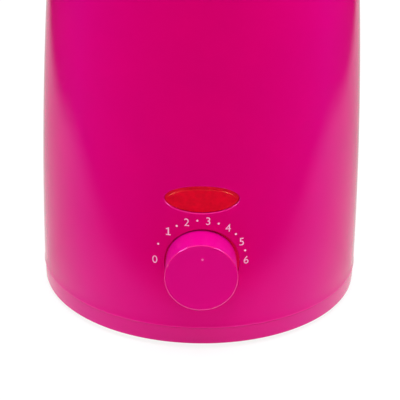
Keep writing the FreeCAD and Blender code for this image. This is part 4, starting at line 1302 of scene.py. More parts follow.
@dataclass
class RoundWall:
    """A wall round the upright axis, made of rows of quads with openings cut in it.

    Attributes:
        surface: Gives the point and normal at an angle from the front and a level.
        rows: Levels of the rows.
        sectors: Divisions round the axis.
        scale: Millimetres of wall per radian.
        room: Least distance of other corners from an opening's edge.
    """

    surface: Surface
    rows: list[float]
    sectors: int
    scale: float
    room: float = 0.9

    def angle(self, number: int) -> float:
        """Angle of a sector's start."""
        return 2 * math.pi * number / self.sectors

    def build(self, mesher: Mesher, panels: Sequence[tuple[range, range, list[Opening]]]) -> None:
        """Add the wall.

        Args:
            mesher: Takes the faces.
            panels: Sectors, rows and openings of each part of the wall that has openings.
        """
        taken = {
            (sector % self.sectors, row)
            for sectors, rows, _ in panels
            for sector in sectors
            for row in rows
        }
        for row, (low, high) in enumerate(zip(self.rows, self.rows[1:])):
            for sector in range(self.sectors):
                if (sector, row) in taken:
                    continue
                ends = (self.angle(sector), self.angle((sector + 1) % self.sectors))
                corners = ((ends[0], low), (ends[1], low), (ends[1], high), (ends[0], high))
                mesher.face([self.surface(*corner) for corner in corners])
        for sectors, rows, openings in panels:
            self.panel(mesher, sectors, rows, openings)

    def panel(self, mesher: Mesher, sectors: range, rows: range, openings: list[Opening]) -> None:
        """Fill a part of the wall with triangles round its openings.

        Args:
            mesher: Takes the faces.
            sectors: Sectors of the part.
            rows: Rows of the part.
            openings: Its openings.
        """
        loops = [opening.places for opening in openings]
        edges = [spot for loop in loops for spot in loop]
        inner: list[Spot] = []
        for sector in range(sectors.start, sectors.stop + 1):
            for row in range(rows.start, rows.stop + 1):
                spot = (self.angle(sector), self.rows[row])
                rim = sector in (sectors.start, sectors.stop) or row in (rows.start, rows.stop)
                if rim or self.clear(spot, openings, edges):
                    inner.append(spot)
        for corners, middle in triangles(loops, inner, self.scale):
            if not any(opening.holds(middle) for opening in openings):
                mesher.face([self.surface(*corner) for corner in corners])

    def clear(self, spot: Spot, openings: list[Opening], edges: list[Spot]) -> bool:
        """Whether a spot lies outside the openings and away from their edges.

        Args:
            spot: Its angle and level.
            openings: The openings.
            edges: All places of their edges.

        Returns:
            True for a clear spot.
        """
        if any(opening.holds(spot) for opening in openings):
            return False
        return all(
            math.hypot((spot[0] - edge[0]) * self.scale, spot[1] - edge[1]) > self.room
            for edge in edges
        )


@dataclass
class Barrel:
    """The casing's upright curve.

    Attributes:
        belly: Widest radius.
        belly_level: Height of the widest place.
        deck: Level of the top.
        draw: How far the curve draws in at the top.
        wall: Thickness of the shell.
    """

    belly: float = 75.4
    belly_level: float = 10.0
    deck: float = 176.0
    draw: float = 7.6
    wall: float = 2.5

    @property
    def curve(self) -> float:
        """Radius of the upright curve."""
        return ((self.deck - self.belly_level) ** 2 + self.draw**2) / (2 * self.draw)

    def radius(self, level: float, inset: float = 0.0) -> float:
        """Radius at a level, on a curve that lies inset inside the outer face."""
        span = math.sqrt((self.curve - inset) ** 2 - (level - self.belly_level) ** 2)
        return self.belly - self.curve + span

    def surface(self, inset: float = 0.0, inward: bool = False) -> Surface:
        """A face of the barrel that lies inset inside the outer one and may face the axis."""
        return partial(self.spot, inset, inward)

    def spot(self, inset: float, inward: bool, angle: float, level: float) -> Ray:
        """A place on a face of the barrel.

        Args:
            inset: How far the face lies inside the outer face.
            inward: Whether it faces the axis.
            angle: Angle of the place from the front.
            level: Level of the place.

        Returns:
            Its point and normal.
        """
        reach = self.radius(level, inset)
        rise = (level - self.belly_level) / (self.curve - inset)
        out = math.sqrt(1.0 - rise * rise)
        sine, cosine = math.sin(angle), math.cos(angle)
        normal = Vector((out * sine, -out * cosine, rise)) * (-1.0 if inward else 1.0)
        return Vector((reach * sine, -reach * cosine, level)), normal

    def angle(self, aside: float, level: float, inset: float = 0.0) -> float:
        """Angle from the front of a place that lies aside by a distance."""
        return math.asin(aside / self.radius(level, inset))

    def front(self, aside: float, level: float, inset: float = 0.0) -> float:
        """Distance of the face in front of the axis at a place aside and a level."""
        return math.sqrt(self.radius(level, inset) ** 2 - aside * aside)


@dataclass(frozen=True)
class Hole:
    """A straight hole through the front or back of the wall.

    Attributes:
        shape: Gives the edge's corner and outward direction for a part of a turn.
        corners: Corners of the edge.
        lip: Radius of the rounded lip.
        back: Whether it is at the back.
    """

    shape: Outline
    corners: int
    lip: float
    back: bool = False

    @property
    def side(self) -> float:
        """1 at the front and -1 at the back."""
        return -1.0 if self.back else 1.0

    @property
    def start(self) -> float:
        """Angle of its side of the casing from the front."""
        return math.pi if self.back else 0.0

    def edge(self, grow: float) -> list[tuple[float, float, Vector]]:
        """Corners of the edge.

        Args:
            grow: Distance that it is grown by.

        Returns:
            Aside, level and outward direction of each corner.
        """
        found = []
        for number in range(self.corners):
            spot, out = self.shape(number / self.corners)
            found.append((spot.x + out.x * grow, spot.y + out.y * grow, out))
        return found

    def opening(self, barrel: Barrel, grow: float, inset: float = 0.0) -> Opening:
        """The hole's edge as an opening in a face of the barrel.

        Args:
            barrel: The casing's curve.
            grow: How far the edge is grown.
            inset: How far the face lies inside the outer face.

        Returns:
            The opening.
        """
        spots = [(aside, level) for aside, level, _ in self.edge(grow)]
        return Opening([(self.start + barrel.angle(*spot, inset), spot[1]) for spot in spots])

    def lip_rings(self, barrel: Barrel, steps: int = 6) -> list[Ring]:
        """Rings from the wall's face over the rounded lip into the hole.

        Args:
            barrel: The casing's curve.
            steps: Divisions of the lip.

        Returns:
            The rings.
        """
        face = barrel.surface()
        rings: list[Ring] = []
        for step in range(steps + 1):
            turn = math.pi / 2 * step / steps
            grow = self.lip * (1 - math.sin(turn))
            depth = self.lip * (1 - math.cos(turn))
            ring: Ring = []
            for aside, level, out in self.edge(grow):
                point, normal = face(self.start + barrel.angle(aside, level), level)
                inward = Vector((-out.x * self.side, 0.0, -out.y))
                spot = point + Vector((0.0, depth * self.side, 0.0))
                ring.append((spot, normal * math.cos(turn) + inward * math.sin(turn)))
            rings.append(ring)
        return rings

    def wall_rings(self, lip: Ring, end: Callable[[Vector], float]) -> list[Ring]:
        """Rings from the lip's end straight into the hole.

        Args:
            lip: The lip's last ring.
            end: Gives the Y of the hole's end for a point.

        Returns:
            The two rings of the hole's wall.
        """
        first: Ring = []
        second: Ring = []
        for (point, _), (_, _, out) in zip(lip, self.edge(0.0)):
            inward = Vector((-out.x * self.side, 0.0, -out.y))
            first.append((point, inward))
            second.append((Vector((point.x, end(point), point.z)), inward))
        return [first, second]


def round_edge(radius: float, aside: float, level: float, part: float) -> Ray:
    """A corner of a round hole's edge.

    Args:
        radius: The hole's radius.
        aside: X of its centre.
        level: Z of its centre.
        part: Part of a turn, from the top.

    Returns:
        The corner and its outward direction.
    """
    angle = 2 * math.pi * part
    out = Vector((math.sin(angle), math.cos(angle)))
    return Vector((aside, level)) + out * radius, out


def oval_edge(half_width: float, half_height: float, level: float, part: float) -> Ray:
    """A corner of an elliptic hole's edge.

    Args:
        half_width: Half of the hole's width.
        half_height: Half of its height.
        level: Z of its centre.
        part: Part of a turn, from the top.

    Returns:
        The corner and its outward direction.
    """
    angle = 2 * math.pi * part
    sine, cosine = math.sin(angle), math.cos(angle)
    out = Vector((sine / half_width, cosine / half_height)).normalized()
    return Vector((half_width * sine, level + half_height * cosine)), out


def square_edge(half: float, corner: float, level: float, part: float) -> Ray:
    """A corner of the edge of a square hole with rounded corners.

    Args:
        half: Half of the hole's side.
        corner: Radius of its corners.
        level: Z of its centre.
        part: Part of a turn, from the top.

    Returns:
        The corner and its outward direction.
    """
    quarter, within = divmod(part * 4, 1.0)
    turn = Matrix.Rotation(-quarter * math.pi / 2, 2)
    angle = within * math.pi / 2
    out = Vector((math.sin(angle), math.cos(angle)))
    spot = Vector((half - corner, half - corner)) + out * corner
    return Vector((0.0, level)) + turn @ spot, turn @ out


def triangles(
    loops: Sequence[Sequence[Spot]], inner: Sequence[Spot], scale: float = 1.0
) -> list[tuple[list[Spot], Spot]]:
    """Join places to triangles that no loop's edge cuts.

    Args:
        loops: Closed loops of places.
        inner: Further places.
        scale: Factor on the first coordinate, where that is an angle.

    Returns:
        Corners and middle of each triangle.
    """
    spots: list[Spot] = []
    fences: list[tuple[int, int]] = []
    for loop in loops:
        first, count = len(spots), len(loop)
        spots.extend(loop)
        fences.extend((first + number, first + (number + 1) % count) for number in range(count))
    spots.extend(inner)
    flat = [Vector((across * scale, level)) for across, level in spots]
    found = delaunay_2d_cdt(flat, fences, [], 0, NEARNESS)
    origin = [sources[0] for sources in found[3]]
    made: list[tuple[list[Spot], Spot]] = []
    for triangle in found[2]:
        corners = [spots[origin[number]] for number in triangle]
        middle = (sum(spot[0] for spot in corners) / 3, sum(spot[1] for spot in corners) / 3)
        made.append((corners, middle))
    return made


def fill(
    mesher: Mesher, loops: Sequence[Sequence[Spot]], inner: Sequence[Spot], place: Surface
) -> None:
    """Fill a flat outline with triangles and carry them to a surface.

    Args:
        mesher: Takes the faces.
        loops: The outline, then the edges of the holes in it.
        inner: Places inside that get a corner too.
        place: Gives the point and normal of a place.
    """
    outline, *holes = (Opening(list(loop)) for loop in loops)
    for corners, middle in triangles(loops, inner):
        if outline.holds(middle) and not any(hole.holds(middle) for hole in holes):
            mesher.face([place(*corner) for corner in corners])


class RingOfCopies:
    """Geometry nodes that repeat a piece round an axis."""

    NAME = "ring_of_copies"

    @classmethod
    def tree(cls) -> bpy.types.NodeTree:
        """The node tree, made once.

        Returns:
            The tree.
        """
        ready = bpy.data.node_groups.get(cls.NAME)
        if ready:
            return ready
        tree = bpy.data.node_groups.new(cls.NAME, "GeometryNodeTree")
        for name, kind in (
            ("Piece", "NodeSocketGeometry"),
            ("Count", "NodeSocketInt"),
            ("Circle", "NodeSocketFloat"),
            ("Start", "NodeSocketFloat"),
            ("Step", "NodeSocketFloat"),
            ("Finish", "NodeSocketMaterial"),
        ):
            tree.interface.new_socket(name, in_out="INPUT", socket_type=kind)
        tree.interface.new_socket("Ring", in_out="OUTPUT", socket_type="NodeSocketGeometry")
        join = tree.links.new

        def node(kind: str) -> bpy.types.Node:
            """A new node of the tree."""
            return tree.nodes.new(kind)

        def arithmetic(operation: str, *values: Socket) -> Socket:
            """Arithmetic on sockets.

            Args:
                operation: Blender's name of the operation.
                values: One or two sockets.

            Returns:
                The result's socket.
            """
            made = node("ShaderNodeMath")
            made.operation = operation
            for value, socket in zip(values, made.inputs):
                join(value, socket)
            return made.outputs[0]

        given = node("NodeGroupInput").outputs
        points = node("GeometryNodePoints")
        join(given["Count"], points.inputs["Count"])
        index = node("GeometryNodeInputIndex").outputs["Index"]
        angle = arithmetic("ADD", given["Start"], arithmetic("MULTIPLY", index, given["Step"]))
        spot = node("ShaderNodeCombineXYZ")
        for axis, operation in (("X", "COSINE"), ("Y", "SINE")):
            share = arithmetic(operation, angle)
            join(arithmetic("MULTIPLY", given["Circle"], share), spot.inputs[axis])
        moved = node("GeometryNodeSetPosition")
        join(points.outputs[0], moved.inputs["Geometry"])
        join(spot.outputs[0], moved.inputs["Position"])
        turn = node("ShaderNodeCombineXYZ")
        join(angle, turn.inputs["Z"])
        spin = node("FunctionNodeEulerToRotation")
        join(turn.outputs[0], spin.inputs[0])
        copies = node("GeometryNodeInstanceOnPoints")
        join(moved.outputs[0], copies.inputs["Points"])
        join(given["Piece"], copies.inputs["Instance"])
        join(spin.outputs[0], copies.inputs["Rotation"])
        real = node("GeometryNodeRealizeInstances")
        join(copies.outputs[0], real.inputs[0])
        finish = node("GeometryNodeSetMaterial")
        join(real.outputs[0], finish.inputs["Geometry"])
        join(given["Finish"], finish.inputs["Material"])
        join(finish.outputs[0], node("NodeGroupOutput").inputs["Ring"])
        return tree

    @classmethod
    def make(
        cls,
        piece: bpy.types.Object,
        finish: Finish,
        count: int,
        circle: float,
        start: float,
        step: float,
    ) -> bpy.types.Object:
        """Repeat a piece and leave a plain mesh.

        Args:
            piece: The piece, standing at the origin. It is used up.
            finish: Finish of the copies.
            count: How many copies.
            circle: Radius of the circle they stand on.
            start: Angle of the first in degrees, from +X.
            step: Angle from one to the next in degrees.

        Returns:
            The object of all copies.
        """
        tree = cls.tree()
        change = piece.modifiers.new("ring", "NODES")
        change.node_group = tree
        values = {
            "Count": count,
            "Circle": circle * MM,
            "Start": math.radians(start),
            "Step": math.radians(step),
            "Finish": finish.material(),
        }
        for item in tree.interface.items_tree:
            if item.in_out == "INPUT" and item.name in values:
                change[item.identifier] = values[item.name]
        name = piece.name
        mesh = evaluated(piece)
        mesh.name = name
        return stand(name, mesh)


# Sub-assemblies


@dataclass(frozen=True)
class FrontPanel:
    """Sizes that the casing's front shares with the knob, the lens and the dial.

    Attributes:
        knob_level: Level of the knob's axis.
        pocket: Radius of the knob's pocket.
        pocket_aside: How far the pocket's middle lies beside the knob's axis.
        pocket_raise: How far it lies above the knob's axis.
        pocket_depth: Depth of the pocket below the wall.
        lens_level: Level of the lens.
        window: Half width and half height of the lens's window.
    """

    knob_level: float = 42.8
    pocket: float = 16.3
    pocket_aside: float = 0.4
    pocket_raise: float = -0.25
    pocket_depth: float = 3.0
    lens_level: float = 72.8
    window: Spot = (16.05, 6.2)


@dataclass(frozen=True)
class WallCut:
    """Divisions of a face of the shell's wall.

    Attributes:
        rows: Divisions of its height.
        front: Sectors to either side of the front, first row and end of the rows that are cut.
        back: The same at the back.
    """

    rows: int
    front: tuple[int, int, int]
    back: tuple[int, int, int]


@dataclass
class OuterShell:
    """The casing's barrel with its window, knob pocket and cord hole.

    Attributes:
        barrel: The casing's curve.
        panel: Sizes of the front.
        bottom: Level of the lower edge.
        flare: How far the lower edge stands out.
        flare_height: Height of the flare.
        edge: Radius of the lower edge.
        shoulder: Radius of the shoulder.
        seat: Radius of the stepped seat in the top.
        seat_level: Level of that seat.
        seat_edge: Radius of that seat's edges.
        opening: Radius of the opening for the well.
        ledge_under: Level of the ledge's underside.
        ledge_edge: Radius of the ledge's lower edge.
        cup_wall: Thickness of the pocket's floor and wall.
        shaft_hole: Radius of the hole for the shaft.
        gland_level: Level of the cord hole.
        gland_half: Half of the cord hole's side.
        gland_corner: Radius of the cord hole's corners.
        lips: Radii of the lips of the pocket, the window and the cord hole.
        corners: Corners of the edges of these three.
        sectors: Divisions round the axis.
        outer: Divisions of the outer face.
        inner: Divisions of the inner face.
    """

    barrel: Barrel
    panel: FrontPanel
    bottom: float = 10.2
    flare: float = 0.25
    flare_height: float = 4.5
    edge: float = 0.3
    shoulder: float = 6.0
    seat: float = 60.4
    seat_level: float = 173.0
    seat_edge: float = 0.4
    opening: float = 55.0
    ledge_under: float = 170.0
    ledge_edge: float = 0.3
    cup_wall: float = 2.0
    shaft_hole: float = 3.6
    gland_level: float = 26.0
    gland_half: float = 5.1
    gland_corner: float = 0.8
    lips: tuple[float, float, float] = (0.5, 0.6, 0.3)
    corners: tuple[int, int, int] = (160, 160, 32)
    sectors: int = 288
    outer: WallCut = WallCut(76, (18, 2, 36), (7, 1, 12))
    inner: WallCut = WallCut(40, (20, 2, 19), (7, 1, 7))

    def build(self) -> None:
        """Make the shell and let it stand for its node."""
        mesher = Mesher()
        spindle = Spindle(sectors=self.sectors)
        middle = self.panel.knob_level + self.panel.pocket_raise
        shapes = (
            partial(round_edge, self.panel.pocket, self.panel.pocket_aside, middle),
            partial(oval_edge, *self.panel.window, self.panel.lens_level),
            partial(square_edge, self.gland_half, self.gland_corner, self.gland_level),
        )
        backs = (False, False, True)
        holes = [Hole(*sizes) for sizes in zip(shapes, self.corners, self.lips, backs)]
        pocket, window, inlet = holes
        low = self.bottom + self.flare_height
        inner = self.barrel.wall
        foot = self.flared()
        lower = profile(
            [
                Bend(self.barrel.radius(self.bottom, inner), self.bottom),
                Bend(foot[0][0], self.bottom, self.edge),
                Bend(*foot[0][:2]),
            ],
            closed=False,
        )
        spindle.turn(mesher, lower)
        # The strip just above the lower edge is painted paler: a painted highlight
        mesher.paint(MAGENTA_SEAM_HIGHLIGHT)
        spindle.turn(mesher, [foot[:2]])
        mesher.paint()
        spindle.turn(mesher, [foot[1:]])
        top = self.shoulder_arc()
        grown = [(hole, hole.lip) for hole in holes]
        self.wall(mesher, self.outer, (low, top[0][1]), grown)
        spindle.turn(mesher, [top])
        upper = profile(
            [
                Bend(top[-1][0], self.barrel.deck),
                Bend(self.seat, self.barrel.deck, self.seat_edge),
                Bend(self.seat, self.seat_level),
                Bend(self.opening, self.seat_level, self.seat_edge),
                Bend(self.opening, self.ledge_under, self.ledge_edge),
                Bend(self.barrel.radius(self.ledge_under, inner), self.ledge_under),
            ],
            closed=False,
        )
        spindle.turn(mesher, upper)
        grown = [(pocket, self.cup_wall), (window, 0.0), (inlet, 0.0)]
        self.wall(mesher, self.inner, (self.bottom, self.ledge_under), grown, inner)
        self.pocket_cup(mesher, pocket)
        for hole in (window, inlet):
            rings = hole.lip_rings(self.barrel)
            rings += hole.wall_rings(
                rings[-1], lambda point: -hole.side * self.barrel.front(point.x, point.z, inner)
            )
            # The rounded lips of the window and the cord hole are painted paler: a painted
            # highlight
            mesher.paint(MAGENTA_LIP_HIGHLIGHT)
            mesher.strips(rings[:-2])
            mesher.paint()
            mesher.strip(*rings[-2:])
        skin = mesher.build("shell_skin", MAGENTA)
        settle(skin, Body.HOUSING, "magenta_plastic", "outer_shell")

    def flared(self, steps: int = 10) -> list[Sample]:
        """The foot, which spreads gently towards the lower edge.

        Args:
            steps: Divisions of its height.

        Returns:
            Samples from the edge upwards.
        """
        samples: list[Sample] = []
        for step in range(steps + 1):
            part = step / steps
            level = self.bottom + self.edge + (self.flare_height - self.edge) * part
            lean = 2 * self.flare * (1 - part) / (self.flare_height - self.edge)
            out = Vector((1.0, lean)).normalized()
            reach = self.barrel.radius(level) + self.flare * (1 - part) ** 2
            samples.append((reach, level, out.x, out.y))
        return samples

    def shoulder_arc(self, steps: int = 12) -> list[Sample]:
        """The rounded shoulder.

        Args:
            steps: Divisions of its arc.

        Returns:
            Samples from the wall to the deck.
        """
        level = self.barrel.deck - self.shoulder
        middle = Vector((self.barrel.radius(level, self.shoulder), level))
        hub = Vector((self.barrel.belly - self.barrel.curve, self.barrel.belly_level))
        first = (middle - hub).normalized()
        samples: list[Sample] = []
        for step in range(steps + 1):
            out = first.slerp(Vector((0.0, 1.0)), step / steps)
            spot = middle + out * self.shoulder
            samples.append((spot.x, spot.y, out.x, out.y))
        return samples

    def wall(
        self,
        mesher: Mesher,
        cut: WallCut,
        ends: Spot,
        holes: Sequence[tuple[Hole, float]],
        inset: float = 0.0,
    ) -> None:
        """Add a face of the wall with its openings.

        Args:
            mesher: Takes the faces.
            cut: Its divisions.
            ends: Levels of its lower and upper end.
            holes: Pocket, window and cord hole, each with how far its edge is grown.
            inset: How far it lies inside the outer face.
        """
        low, high = ends
        levels = [low + (high - low) * row / cut.rows for row in range(cut.rows + 1)]
        face = self.barrel.surface(inset, inward=inset > 0.0)
        openings = [hole.opening(self.barrel, grow, inset) for hole, grow in holes]
        panels = [
            (range(middle - side, middle + side), range(first, end), found)
            for middle, (side, first, end), found in (
                (0, cut.front, openings[:2]),
                (self.sectors // 2, cut.back, openings[2:]),
            )
        ]
        RoundWall(face, levels, self.sectors, self.barrel.belly).build(mesher, panels)

    def pocket_cup(self, mesher: Mesher, pocket: Hole) -> None:
        """Add the pocket's lip, wall and floor, and the cup that backs them.

        Args:
            mesher: Takes the faces.
            pocket: The knob's pocket.
        """
        rings = pocket.lip_rings(self.barrel)
        mesher.strips(rings)
        level = self.panel.knob_level
        floor = self.barrel.radius(level) - self.panel.pocket_depth
        back = floor - self.cup_wall
        turns = [number / pocket.corners for number in range(pocket.corners)]
        spots = [round_edge(self.shaft_hole, 0.0, level, turn)[0] for turn in turns]
        wall = pocket.wall_rings(rings[-1], lambda point: -floor)
        # The pocket's wall and floor are painted redder and lighter: painted shade in the gap round
        # the knob
        mesher.paint(MAGENTA_POCKET_SHADE)
        mesher.strip(*wall)

        def disc(front: float, facing: float) -> Ring:
            """The shaft hole's edge at a distance in front of the axis."""
            normal = Vector((0.0, facing, 0.0))
            return [(Vector((spot.x, -front, spot.y)), normal) for spot in spots]

        edge = [(point, Vector((0.0, -1.0, 0.0))) for point, _ in wall[1]]
        mesher.strip(edge, disc(floor, -1.0))
        mesher.paint()
        cup = pocket.edge(self.cup_wall)
        inwards = Vector((0.0, 1.0, 0.0))
        outside = [(Vector((aside, -back, high)), inwards) for aside, high, _ in cup]
        mesher.strip(disc(back, 1.0), outside)
        bore: list[Ring] = [[], []]
        side: list[Ring] = [[], []]
        inner = self.barrel.surface(self.barrel.wall)
        for spot, (aside, high, out) in zip(spots, cup):
            outward = Vector((out.x, 0.0, out.y))
            face = inner(self.barrel.angle(aside, high, self.barrel.wall), high)[0]
            side[0].append((face, outward))
            side[1].append((Vector((aside, -back, high)), outward))
            for ring, depth in zip(bore, (floor, back)):
                ring.append((Vector((spot.x, -depth, spot.y)), -outward))
        mesher.strip(*side)
        mesher.strip(*bore)


@dataclass
class ControlKnob:
    """The thermostat's knob with its pointer dot.

    Attributes:
        barrel: The casing's curve.
        panel: Sizes of the front.
        radius: Radius at its back.
        front_radius: Radius at its face.
        reach: How far its face stands out from the wall.
        float_gap: Clearance between its back edge and the pocket's floor.
        edge: Radius of the face's edge.
        back_edge: Radius of the back edge.
        skirt: Thickness of its skirt.
        cap: Thickness of its face.
        fillet: Radius between the skirt and the face on the inside.
        hub: Radius of its hub.
        hub_edge: Radius of the hub's edge.
        hub_gap: Clearance between the hub's end and the pocket's floor.
        bore: Radius of the hub's bore.
        bore_roof: Thickness between the bore's end and the inside of the face.
        dot_offset: How far the pointer dot lies above the axis.
        dot_aside: How far it lies beside the axis.
        dot: Radius of the pointer dot.
        dot_depth: Depth of the pointer dot.
        dot_corners: Divisions round the pointer dot.
        sectors: Divisions round the knob.
        face_rings: Radii of the rings of corners inside the face.
        face_turns: Corners of such a ring.
    """

    barrel: Barrel
    panel: FrontPanel
    radius: float = 15.4
    front_radius: float = 15.8
    reach: float = 13.9
    float_gap: float = 0.8
    edge: float = 0.6
    back_edge: float = 0.35
    skirt: float = 2.0
    cap: float = 3.0
    fillet: float = 0.8
    hub: float = 6.0
    hub_edge: float = 0.3
    hub_gap: float = 3.5
    bore: float = 3.05
    bore_roof: float = 1.0
    dot_offset: float = 9.0
    dot_aside: float = 0.4
    dot: float = 0.5
    dot_depth: float = 0.15
    dot_corners: int = 32
    sectors: int = 160
    face_rings: Spot = (4.0, 12.5)
    face_turns: int = 24

    @property
    def level(self) -> float:
        """Level of its axis."""
        return self.panel.knob_level

    @property
    def face(self) -> float:
        """Distance of its face in front of the upright axis."""
        return self.barrel.radius(self.level) + self.reach

    def build(self) -> None:
        """Make the knob and its dot."""
        mesher = Mesher()
        spindle = Spindle(Axis.FORWARD, self.sectors, (0.0, self.level))
        floor = self.barrel.radius(self.level) - self.panel.pocket_depth
        roof = self.face - self.cap
        runs = profile(
            [
                Bend(0.0, roof - self.bore_roof),
                Bend(self.bore, roof - self.bore_roof),
                Bend(self.bore, floor + self.hub_gap),
                Bend(self.hub, floor + self.hub_gap, self.hub_edge),
                Bend(self.hub, roof),
                Bend(self.radius - self.skirt, roof, self.fillet),
                Bend(self.radius - self.skirt, floor + self.float_gap),
                Bend(self.radius, floor + self.float_gap, self.back_edge),
                Bend(self.front_radius, self.face, self.edge),
                Bend(0.0, self.face),
            ],
            closed=False,
            steps=8,
        )
        # The skirt, side and inside take the bluer side colour: painted light from above on the
        # side
        mesher.paint(MAGENTA_SIDE_LIT)
        spindle.turn(mesher, runs[:-2])
        # The face's rounded edge is painted in the paler lip colour: a painted highlight
        mesher.paint(MAGENTA_LIP_HIGHLIGHT)
        spindle.turn(mesher, runs[-2:-1])
        mesher.paint()
        rim = runs[-1][0][0]
        outline = [(point.x, point.z) for point, _ in spindle.ring((rim, self.face, 0.0, 1.0))]
        dot = partial(round_edge, self.dot, self.dot_aside, self.level + self.dot_offset)
        hole = [tuple(dot(turn / self.dot_corners)[0]) for turn in range(self.dot_corners)]
        angles = [2 * math.pi * turn / self.face_turns for turn in range(self.face_turns)]
        inner = [
            (reach * math.sin(angle), self.level + reach * math.cos(angle))
            for reach in self.face_rings
            for angle in angles
        ]

        def flat(aside: float, level: float) -> Ray:
            """Point and normal of a place on the face."""
            return Vector((aside, -self.face, level)), Vector((0.0, -1.0, 0.0))

        fill(mesher, [outline, hole], inner, flat)
        skin = mesher.build("knob_skin", MAGENTA_KNOB)
        settle(skin, Body.KNOB, "magenta_plastic", "control_knob")
        settle(self.pointer().build("knob_pointer", POINTER_INK), Body.KNOB, "magenta_plastic")

    def pointer(self, steps: int = 6) -> Mesher:
        """The pointer's inked dimple, as a shallow bowl with a flat back.

        Args:
            steps: Divisions of the bowl.

        Returns:
            Its faces.
        """
        mesher = Mesher()
        ball = (self.dot**2 + self.dot_depth**2) / (2 * self.dot_depth)
        middle = self.face + ball - self.dot_depth
        samples: list[Sample] = []
        for step in range(steps + 1):
            reach = self.dot * step / steps
            rise = math.sqrt(ball * ball - reach * reach)
            samples.append((reach, middle - rise, -reach / ball, rise / ball))
        centre = (self.dot_aside, self.level + self.dot_offset)
        spindle = Spindle(Axis.FORWARD, self.dot_corners, centre)
        spindle.turn(mesher, [samples])
        under = self.face - 2 * self.dot_depth
        spindle.turn(
            mesher,
            [
                [(self.dot, self.face, 1.0, 0.0), (self.dot, under, 1.0, 0.0)],
                [(self.dot, under, 0.0, -1.0), (0.0, under, 0.0, -1.0)],
            ],
        )
        return mesher


@dataclass
class IndicatorLens:
    """The oval lens of the heating lamp: a bright plateau on a darker sloping rim, whose separately
    tuned colour is painted shade.

    Attributes:
        barrel: The casing's curve.
        panel: Sizes of the front.
        gap: Clearance in the window.
        bevel: Width of the sloping rim.
        drop: How far the plateau lies below the middle of the window.
        sink: Depth of the plateau's edge below the wall.
        crown: How far the plateau's middle stands out from its edge.
        rim_sink: Depth of the sloping rim's foot below the wall.
        edge: Radius of the plateau's edge.
        tuck: Where the sloping rim starts under the plateau's edge, in radii of that edge.
        nib: Width, rise and drop of the small edge at the sloping rim's foot.
        seat: Depth of the flange's front below the wall.
        flange: How far the flange reaches past the window.
        flange_thick: Thickness of the flange.
        web: Thickness of the rim behind the plateau.
        crease: Angle in degrees from which an edge is sharp.
        corners: Divisions round the oval.
        parts: Shares of the plateau's width that get a ring.
    """

    barrel: Barrel
    panel: FrontPanel
    gap: float = 0.05
    bevel: float = 0.85
    drop: float = 0.5
    sink: float = 0.3
    crown: float = 0.15
    rim_sink: float = 0.9
    edge: float = 0.32
    tuck: float = 1.6
    nib: tuple[float, float, float] = (0.06, 0.04, 0.05)
    seat: float = 2.55
    flange: float = 1.3
    flange_thick: float = 1.4
    web: float = 0.5
    crease: float = 32.0
    corners: int = 144
    parts: tuple[float, ...] = (0.0, 0.2, 0.4, 0.55, 0.7, 0.8, 0.87, 0.93, 0.97, 1.0)

    def build(self, steps: int = 6) -> None:
        """Make the plateau and the rim, and let them stand for the lens's node.

        Args:
            steps: Divisions of the plateau's edge.
        """
        outer = -self.gap
        shelf = outer - self.bevel
        back = self.seat + self.flange_thick
        low = self.drop
        bed = [self.ring(shelf, part, back - self.web, low) for part in (1.0, 0.0)]
        rings = [self.ring(shelf - self.edge, part, self.depth(part), low) for part in self.parts]
        for step in range(1, steps + 1):
            turn = math.pi / 2 * step / steps
            grow = shelf - self.edge * (1 - math.sin(turn))
            rings.append(self.ring(grow, 1.0, self.sink + self.edge * (1 - math.cos(turn)), low))
        self.piece("lens_face", LENS_RED, rings + bed)
        width, rise, fall = self.nib
        rings = [
            bed[0],
            self.ring(shelf, 1.0, self.sink + self.edge * self.tuck, low),
            self.ring(outer - width, 1.0, self.rim_sink - rise),
            self.ring(outer, 1.0, self.rim_sink + fall),
            self.ring(outer, 1.0, self.seat),
            self.ring(self.flange, 1.0, self.seat),
            self.ring(self.flange, 1.0, back),
            self.ring(shelf, 0.0, back, low),
            bed[1],
            bed[0],
        ]
        # The sloping rim takes its own tuned copy of the lens colour: painted shade
        self.piece("lens_rim", LENS_RIM_SHADE, rings)

    def piece(self, name: str, finish: Finish, rings: Sequence[list[Vector]]) -> None:
        """Make a piece from rings that run from its front to its back.

        Args:
            name: Name of the piece.
            finish: Its finish.
            rings: Its rings. Seen from the front, their corners run clockwise.
        """
        mesher = Mesher()
        for first, second in zip(rings, rings[1:]):
            for number in range(self.corners):
                after = (number + 1) % self.corners
                spots = [first[number], second[number], second[after], first[after]]
                facing = Vector()
                for before, later in zip(spots, spots[1:] + spots[:1]):
                    facing += (before - spots[0]).cross(later - spots[0])
                mesher.face([(spot, facing) for spot in spots])
        made = mesher.build(name, finish)
        smooth_by_angle(made, self.crease)
        settle(made, Body.HOUSING, "red_lens", "indicator_lens")

    def depth(self, part: float) -> float:
        """Depth of the plateau at a part of the way from its middle to its edge."""
        return self.sink - self.crown * (1 - part * part)

    def ring(self, grow: float, shrink: float, depth: float, drop: float = 0.0) -> list[Vector]:
        """Points of the window's edge, grown and then shrunk to its middle.

        Args:
            grow: Distance that the edge is grown by.
            shrink: Share of its distance from the middle that is kept.
            depth: Depth below the wall's face.
            drop: How far it lies below the middle of the window.

        Returns:
            The points.
        """
        points = []
        for number in range(self.corners):
            spot, out = oval_edge(*self.panel.window, 0.0, number / self.corners)
            spot = (spot + out * grow) * shrink
            level = self.panel.lens_level + spot.y - drop
            points.append(Vector((spot.x, depth - self.barrel.front(spot.x, level), level)))
        return points


def smooth_by_angle(piece: bpy.types.Object, angle: float) -> None:
    """Shade a piece smoothly, with edges sharper than an angle left sharp.

    Args:
        piece: The piece.
        angle: The angle in degrees.
    """
    mesh = piece.data
    if mesh.has_custom_normals:
        mesh.attributes.remove(mesh.attributes["custom_normal"])
    mesh.shade_smooth()
    mesh.set_sharp_from_angle(angle=math.radians(angle))


